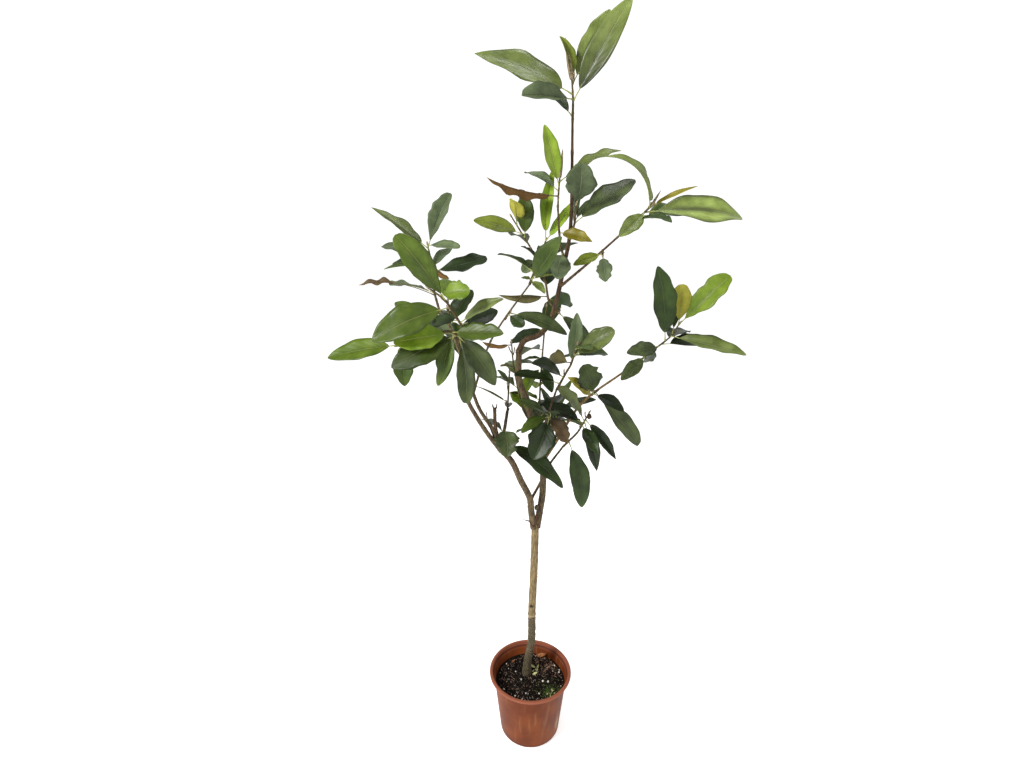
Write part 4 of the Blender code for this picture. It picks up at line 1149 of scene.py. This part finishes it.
def leaf_finishes(tint):
    """The glossy upper face with its ribs and quilted veins, and the matte under face."""
    *colours, roughness = TINTS[tint]
    dark, pale, ribs, beneath = [srgb(*colour) for colour in colours]
    upper, shader, place = new_finish(tint + "_leaf", roughness, UPPER_SHEEN)
    spot = place.node("ShaderNodeUVMap", {"uv_map": "blade"})
    along = spot.part(0)
    aside = (spot.part(1) - 0.5).maths("ABSOLUTE")
    quilt = ((along * VEINS - aside * VEIN_SLANT) * (2 * math.pi)).maths("SINE")
    vein = quilt.between(0.86, 1.0) * (1 - aside.between(0.30, 0.48))
    midrib = 1 - aside.between(0.008, 0.032)
    # The shade attribute scales the colour: each leaf's tone with its painted sheen and painted shade
    tone_and_painted_light = place.node("ShaderNodeAttribute", {"attribute_name": "shade"}, None, 2)
    body = place.speckle(30, 3).between(0.26, 0.74).paint(dark, pale)
    body = (vein * 0.08 + midrib * 0.5).paint(body, ribs)
    tone_and_painted_light.shade(body).into(shader, "Base Color")
    (place.speckle(70, 2) * 0.16 + (roughness - 0.08)).into(shader, "Roughness")
    (place.speckle(45, 1) * 0.4 - quilt * 0.06 - midrib).emboss(shader, 0.0009)
    lower, shader, place = new_finish(tint + "_leaf_beneath", 0.8, 0.15)
    # The same shade attribute, with its painted sheen and painted shade, on the under face
    tone_and_painted_light = place.node("ShaderNodeAttribute", {"attribute_name": "shade"}, None, 2)
    darker = tuple(BENEATH_DARKER * part for part in beneath[:3]) + (1.0,)
    body = place.speckle(40, 3).between(0.3, 0.7).paint(beneath, darker)
    tone_and_painted_light.shade(body).into(shader, "Base Color")
    place.speckle(700, 2).emboss(shader, 0.0003)
    return [upper, lower]


def leaf_habit(dice, kind, marked):
    """How chance shapes one leaf, and what it has of its own. The draws keep their order."""
    habit = {
        "outline": KIND_OUTLINES.get(kind, "pointed"), "width": 1.0, "painted_sheen": PAINTED_SHEEN, "fade": FADE,
        "ripple": dice.uniform(0.10, 0.16) if kind in WIZENED else dice.uniform(0.04, 0.13),
        "waves": dice.uniform(1.4, 3.0), "phases": (dice.uniform(0, 6), dice.uniform(0, 6)),
        "twist": math.radians(dice.uniform(-14, 14)), "curl": dice.uniform(0.0, 0.05),
        "fold": dice.uniform(0.7, 0.9) if kind == "slim" else dice.uniform(0.16, 0.42),
        "shade": dice.uniform(0.74, 1.18), "edge": dice.uniform(0.04, 0.16),
        "bow": dice.uniform(-0.05, 0.05)}
    return habit | marked


def leaf_place(leaf, habit, share):
    """The leaf's section after its own curl, bow and twist: centre, side, up and half width."""
    centre, side, up, half = leaf_section(leaf, share)
    drop = up * habit["curl"] * share ** 4
    swing = side * habit["bow"] * math.sin(math.pi * share)
    turn = habit["twist"] * share
    turned_side = side * math.cos(turn) + up * math.sin(turn)
    turned_up = up * math.cos(turn) - side * math.sin(turn)
    return centre - (drop - swing) * leaf[3], turned_side, turned_up, half


def blade_half(leaf, habit, along, phase):
    """Half the width of a blade at a share of it, from a narrow foot to its own sort of tip."""
    lean, foot, tip = OUTLINES[habit["outline"]]
    swell = math.sin(math.pi * min(1.0, along) ** lean) if 0 < along < 1 else 0.0
    lumps = 1 + habit["edge"] * noise.noise(Vector((along * EDGE_LUMPS, phase, 0)))
    widest = habit["width"] * LEAF_KINDS[leaf[5]][0] * leaf[3] / 2 * lumps
    narrowest = LEAF_TIP + (STALK_RADIUS - LEAF_TIP) * (1 - along)
    return narrowest + widest * swell ** (foot + (tip - foot) * along)


def blade_shade(habit, along, across):
    """How bright a blade is: painted sheen mid-half, painted shade at its midrib, margins, foot and one
    side.
    """
    lit = 1 + habit["fade"] * (along - 0.5) + SIDE_SHADE * across * math.sin(habit["phases"][0])
    painted_sheen = math.sin(math.pi * abs(across)) - PAINTED_SHEEN_MEAN
    return habit["shade"] * (lit + habit["painted_sheen"] * math.sin(math.pi * along) * painted_sheen)


def add_blade(bm, shade, leaf, habit):
    """One blade: a grid bent along the leaf's arc, folded at the midrib and rippled at its margins."""
    stalk = LEAF_KINDS[leaf[5]][1]
    fold = habit["fold"]
    shrink = 1 / math.sqrt(1 + fold ** 2) if leaf[5] != "slim" else 1.0
    grid = bmesh.ops.create_grid(bm, x_segments=BLADE_ROWS, y_segments=BLADE_COLUMNS, size=0.5,
                                 calc_uvs=True)["verts"]
    for vert in grid:
        along, across = vert.co.x + 0.5, vert.co.y * 2
        along = (1 - math.cos(math.pi * along)) / 2 * EVENING + along * (1 - EVENING)
        centre, side, up, _ = leaf_place(leaf, habit, stalk + (1 - stalk) * along)
        phase = habit["phases"][across > 0]
        half = blade_half(leaf, habit, along, phase)
        wave = habit["ripple"] * math.sin(2 * math.pi * habit["waves"] * along + phase) * across ** 2
        rise = (fold * (math.sqrt(across * across + 0.01) - 0.1) + wave) * half
        vert.co = centre - side * half * across * shrink + up * rise
        vert[shade] = blade_shade(habit, along, across)


def build_leaves():
    """One piece of leaves for each tint. Returns every leaf with its habit and tint."""
    dice = random.Random(41)
    meshes = {tint: bmesh.new() for tint in TINTS}
    shades = {}
    for tint, bm in meshes.items():
        bm.loops.layers.uv.new("blade")
        shades[tint] = bm.verts.layers.float.new("shade")
    grown = []
    for mass, leaves in crown.items():
        for number, (leaf, tint) in enumerate(leaves):
            habit = leaf_habit(dice, leaf[5], MARKED.get(mass, {}).get(number, {}))
            tint = habit.get("tint", tint)
            grown.append((leaf, habit, tint))
            if leaf[5] != "bud":
                add_blade(meshes[tint], shades[tint], leaf, habit)
    for tint, bm in meshes.items():
        made = piece(tint + "_leaves", bm, leaf_finishes(tint), "leaf", *MASSES)
        wall = made.modifiers.new("thickness", "SOLIDIFY")
        wall.thickness = BLADE_DEPTH
        wall.offset = -1
        wall.material_offset = 1
        wall.material_offset_rim = 1
    return grown


grown_leaves = build_leaves()


# The shoots and stalks. Each mass has one young stem with rings, short spurs and small downy buds, and
# every leaf hangs on a pale stalk that runs on as a midrib under its blade, thinning to the tip.
SHOOT_SIDES = 10
TWIG_SIDES = 8
STALK_SIDES = 6
MIDRIB_STEPS = 14
MIDRIB_REACH = 0.93
MIDRIB_SINK = 1.05         # of its radius, below the blade
STALK_GIRTH = 0.0013       # radius past the swollen root, which the midrib thins from
STALK_SWELLING = 0.0009
SWELLING_REACH = 0.02      # of the leaf's length
MIDRIB_THINNING = 0.0010
SPUR_LENGTHS = (0.006, 0.018)
TIP_BUD_LENGTHS = (0.010, 0.016)
SIDE_BUD_LENGTHS = (0.006, 0.010)
TIP_BUD_WIDTH = 0.0050
SIDE_BUD_WIDTH = 0.0034
BUD_STEPS = 8
BROWN_TINTS = ("rust", "dead", "khaki")


def add_stalk(bm, leaf, habit):
    """A stalk, swollen at its root, and the midrib that it becomes."""
    stalk = LEAF_KINDS[leaf[5]][1]
    path, radii = [], []
    for k in range(MIDRIB_STEPS + 1):
        share = MIDRIB_REACH * k / MIDRIB_STEPS
        centre, _, up, _ = leaf_place(leaf, habit, share)
        swelling = STALK_SWELLING * math.exp(-share / SWELLING_REACH)
        radius = STALK_GIRTH + swelling - MIDRIB_THINNING * (share / MIDRIB_REACH)
        under = min(1.0, max(0.0, (share - stalk * 0.8) / (stalk * 0.4)))
        path.append(centre - up * radius * MIDRIB_SINK * under)
        radii.append(radius)
    wrap_tube(bm, *rounded_ends(path, radii), STALK_SIDES)


def add_bud(bm, root, way, length, width):
    """A pointed bud: a spindle, fullest a third of the way up."""
    shares = [k / BUD_STEPS for k in range(BUD_STEPS + 1)]
    path = [root + way * length * share for share in shares]
    swells = [math.sin(math.pi * (0.15 + 0.85 * share) ** 0.7) ** 0.8 for share in shares]
    radii = [width * (0.02 + 0.48 * swell) for swell in swells]
    wrap_tube(bm, *rounded_ends(path, radii), TWIG_SIDES)


def build_shoots():
    """The stems, spurs and buds of every mass, and the long buds among its leaves."""
    dice = random.Random(17)
    stems, buds = bmesh.new(), bmesh.new()
    for points, _, extra, _ in MASSES.values():
        path = smooth_path(points, 12)
        radii = limb_radii(path, STEM_FOOT_RADIUS, STEM_TIP_RADIUS, 0.0)
        relief = bark_relief(dice, 0.014, ridge=0.0006, wrinkle=0.06)
        wrap_tube(stems, *rounded_ends(path, radii), SHOOT_SIDES, relief)
        way = (path[-1] - path[-2]).normalized()
        add_bud(buds, path[-1], way, dice.uniform(*TIP_BUD_LENGTHS), TIP_BUD_WIDTH)
        for _ in range(2 + extra // 3):
            root = point_along(path, dice.uniform(0.25, 0.9))
            out = (direction(dice.uniform(0, 360), dice.uniform(10, 60)) + way).normalized()
            reach = dice.uniform(*SPUR_LENGTHS)
            spur = smooth_path((root, root + out * reach * 0.6, root + (out * 0.9 + way * 0.3) * reach), 3)
            wrap_tube(stems, *rounded_ends(spur, limb_radii(spur, 0.0014, 0.0010, 0.0004)), TWIG_SIDES)
            spur_way = (spur[-1] - spur[-2]).normalized()
            add_bud(buds, spur[-1], spur_way, dice.uniform(*SIDE_BUD_LENGTHS), SIDE_BUD_WIDTH)
    for leaf, _, _ in grown_leaves:
        if leaf[5] == "bud":
            root, heading, rise, length = leaf[:4]
            add_bud(buds, root, direction(heading, rise), length, length * LEAF_KINDS["bud"][0])
    down = plain_finish("downy_bud", (96, 84, 62), (140, 124, 96), roughness=0.85, scale=300)
    piece("shoots", outward(stems), [BARKS["twig"]], "bark", *MASSES)
    piece("buds", outward(buds), [down], "leaf", *MASSES)


def build_stalks():
    """Pale green stalks and midribs, and brown ones on the leaves that are dead or dying."""
    greens, browns = bmesh.new(), bmesh.new()
    for leaf, habit, tint in grown_leaves:
        if leaf[5] != "bud":
            add_stalk(browns if tint in BROWN_TINTS else greens, leaf, habit)
    green = plain_finish("green_stalks", (112, 118, 56), (156, 158, 92), roughness=0.5, scale=200)
    piece("green_stalks", outward(greens), [green], "leaf", *MASSES)
    brown = plain_finish("brown_stalks", (60, 46, 28), (94, 74, 46), roughness=0.5, scale=200)
    piece("brown_stalks", outward(browns), [brown], "leaf", *MASSES)


build_shoots()
build_stalks()


# The studio. A pale floor that glows faintly, so that it meets the pale backdrop without a line, under a
# dimmer ceiling. A soft key light at the left front, a weaker one at the right and a small one over the
# crown light the plant, and the camera looks down on it from eye height.
FLOOR_RADIUS = 12
FLOOR_TINTS = ((0.92, 0.92, 0.92, 1), (0.95, 0.95, 0.94, 1))
FLOOR_GLOW = 0.55
CAMERA_PLACE = (-0.054, -1.35, 1.563)
CAMERA_TILT = 18.9         # degrees below level
FOCAL_PIXELS = 580
IMAGE_WIDTH = 1024
SENSOR_WIDTH = 36
BACKDROP = (1.12, 1.12, 1.12, 1)
CEILING = (0.36, 0.36, 0.36, 1)
DIM_HEIGHTS = (0.26, 0.60)  # sines of the rises between which the backdrop dims into the ceiling

# Each light: its place, the point that it is aimed at, its size in metres and its power in watts
LIGHTS = {
    "key": ((-2.5, -2.0, 3.1), (0, 0, 1.0), 1.0, 165),
    "fill": ((2.4, -1.4, 2.4), (0, 0, 1.0), 1.6, 12),
    "top": ((0.45, 0.10, 3.5), (0.1, 0, 1.3), 0.9, 22),
}


def build_floor():
    bm = bmesh.new()
    bmesh.ops.create_circle(bm, cap_ends=True, radius=FLOOR_RADIUS, segments=96)
    finish, shader, place = new_finish("floor", 0.9, 0.1)
    place.speckle(3, 2).paint(*FLOOR_TINTS).into(shader, "Base Color")
    shader.inputs["Emission Color"].default_value = (1.0, 1.0, 1.0, 1)
    shader.inputs["Emission Strength"].default_value = FLOOR_GLOW
    add_mesh("floor", bm, finish)


def add_light(name, place, aim, size, power):
    lamp = bpy.data.lights.new(name, "AREA")
    lamp.shape = "DISK"
    lamp.size = size
    lamp.energy = power
    made = add_object(name, lamp)
    made.location = place
    made.rotation_euler = (Vector(aim) - Vector(place)).to_track_quat("-Z", "Y").to_euler()


def set_world():
    """An even pale backdrop all round, dimming to the ceiling."""
    world = bpy.data.worlds.new("soft_white")
    world.use_nodes = True
    tree = world.node_tree
    rise = Wire(tree).node("ShaderNodeTexCoord", output="Generated").part(2)
    rise.between(*DIM_HEIGHTS).paint(BACKDROP, CEILING).into(tree.nodes["Background"], "Color")
    bpy.context.scene.world = world
    bpy.context.scene.view_settings.view_transform = "Standard"


def set_camera():
    lens = bpy.data.cameras.new("camera")
    lens.sensor_width = SENSOR_WIDTH
    lens.lens = SENSOR_WIDTH * FOCAL_PIXELS / IMAGE_WIDTH
    camera = add_object("camera", lens)
    camera.location = CAMERA_PLACE
    camera.rotation_euler = (math.radians(90 - CAMERA_TILT), 0, 0)
    bpy.context.scene.camera = camera


build_floor()
for name, setting in LIGHTS.items():
    add_light(name, *setting)
set_world()
set_camera()
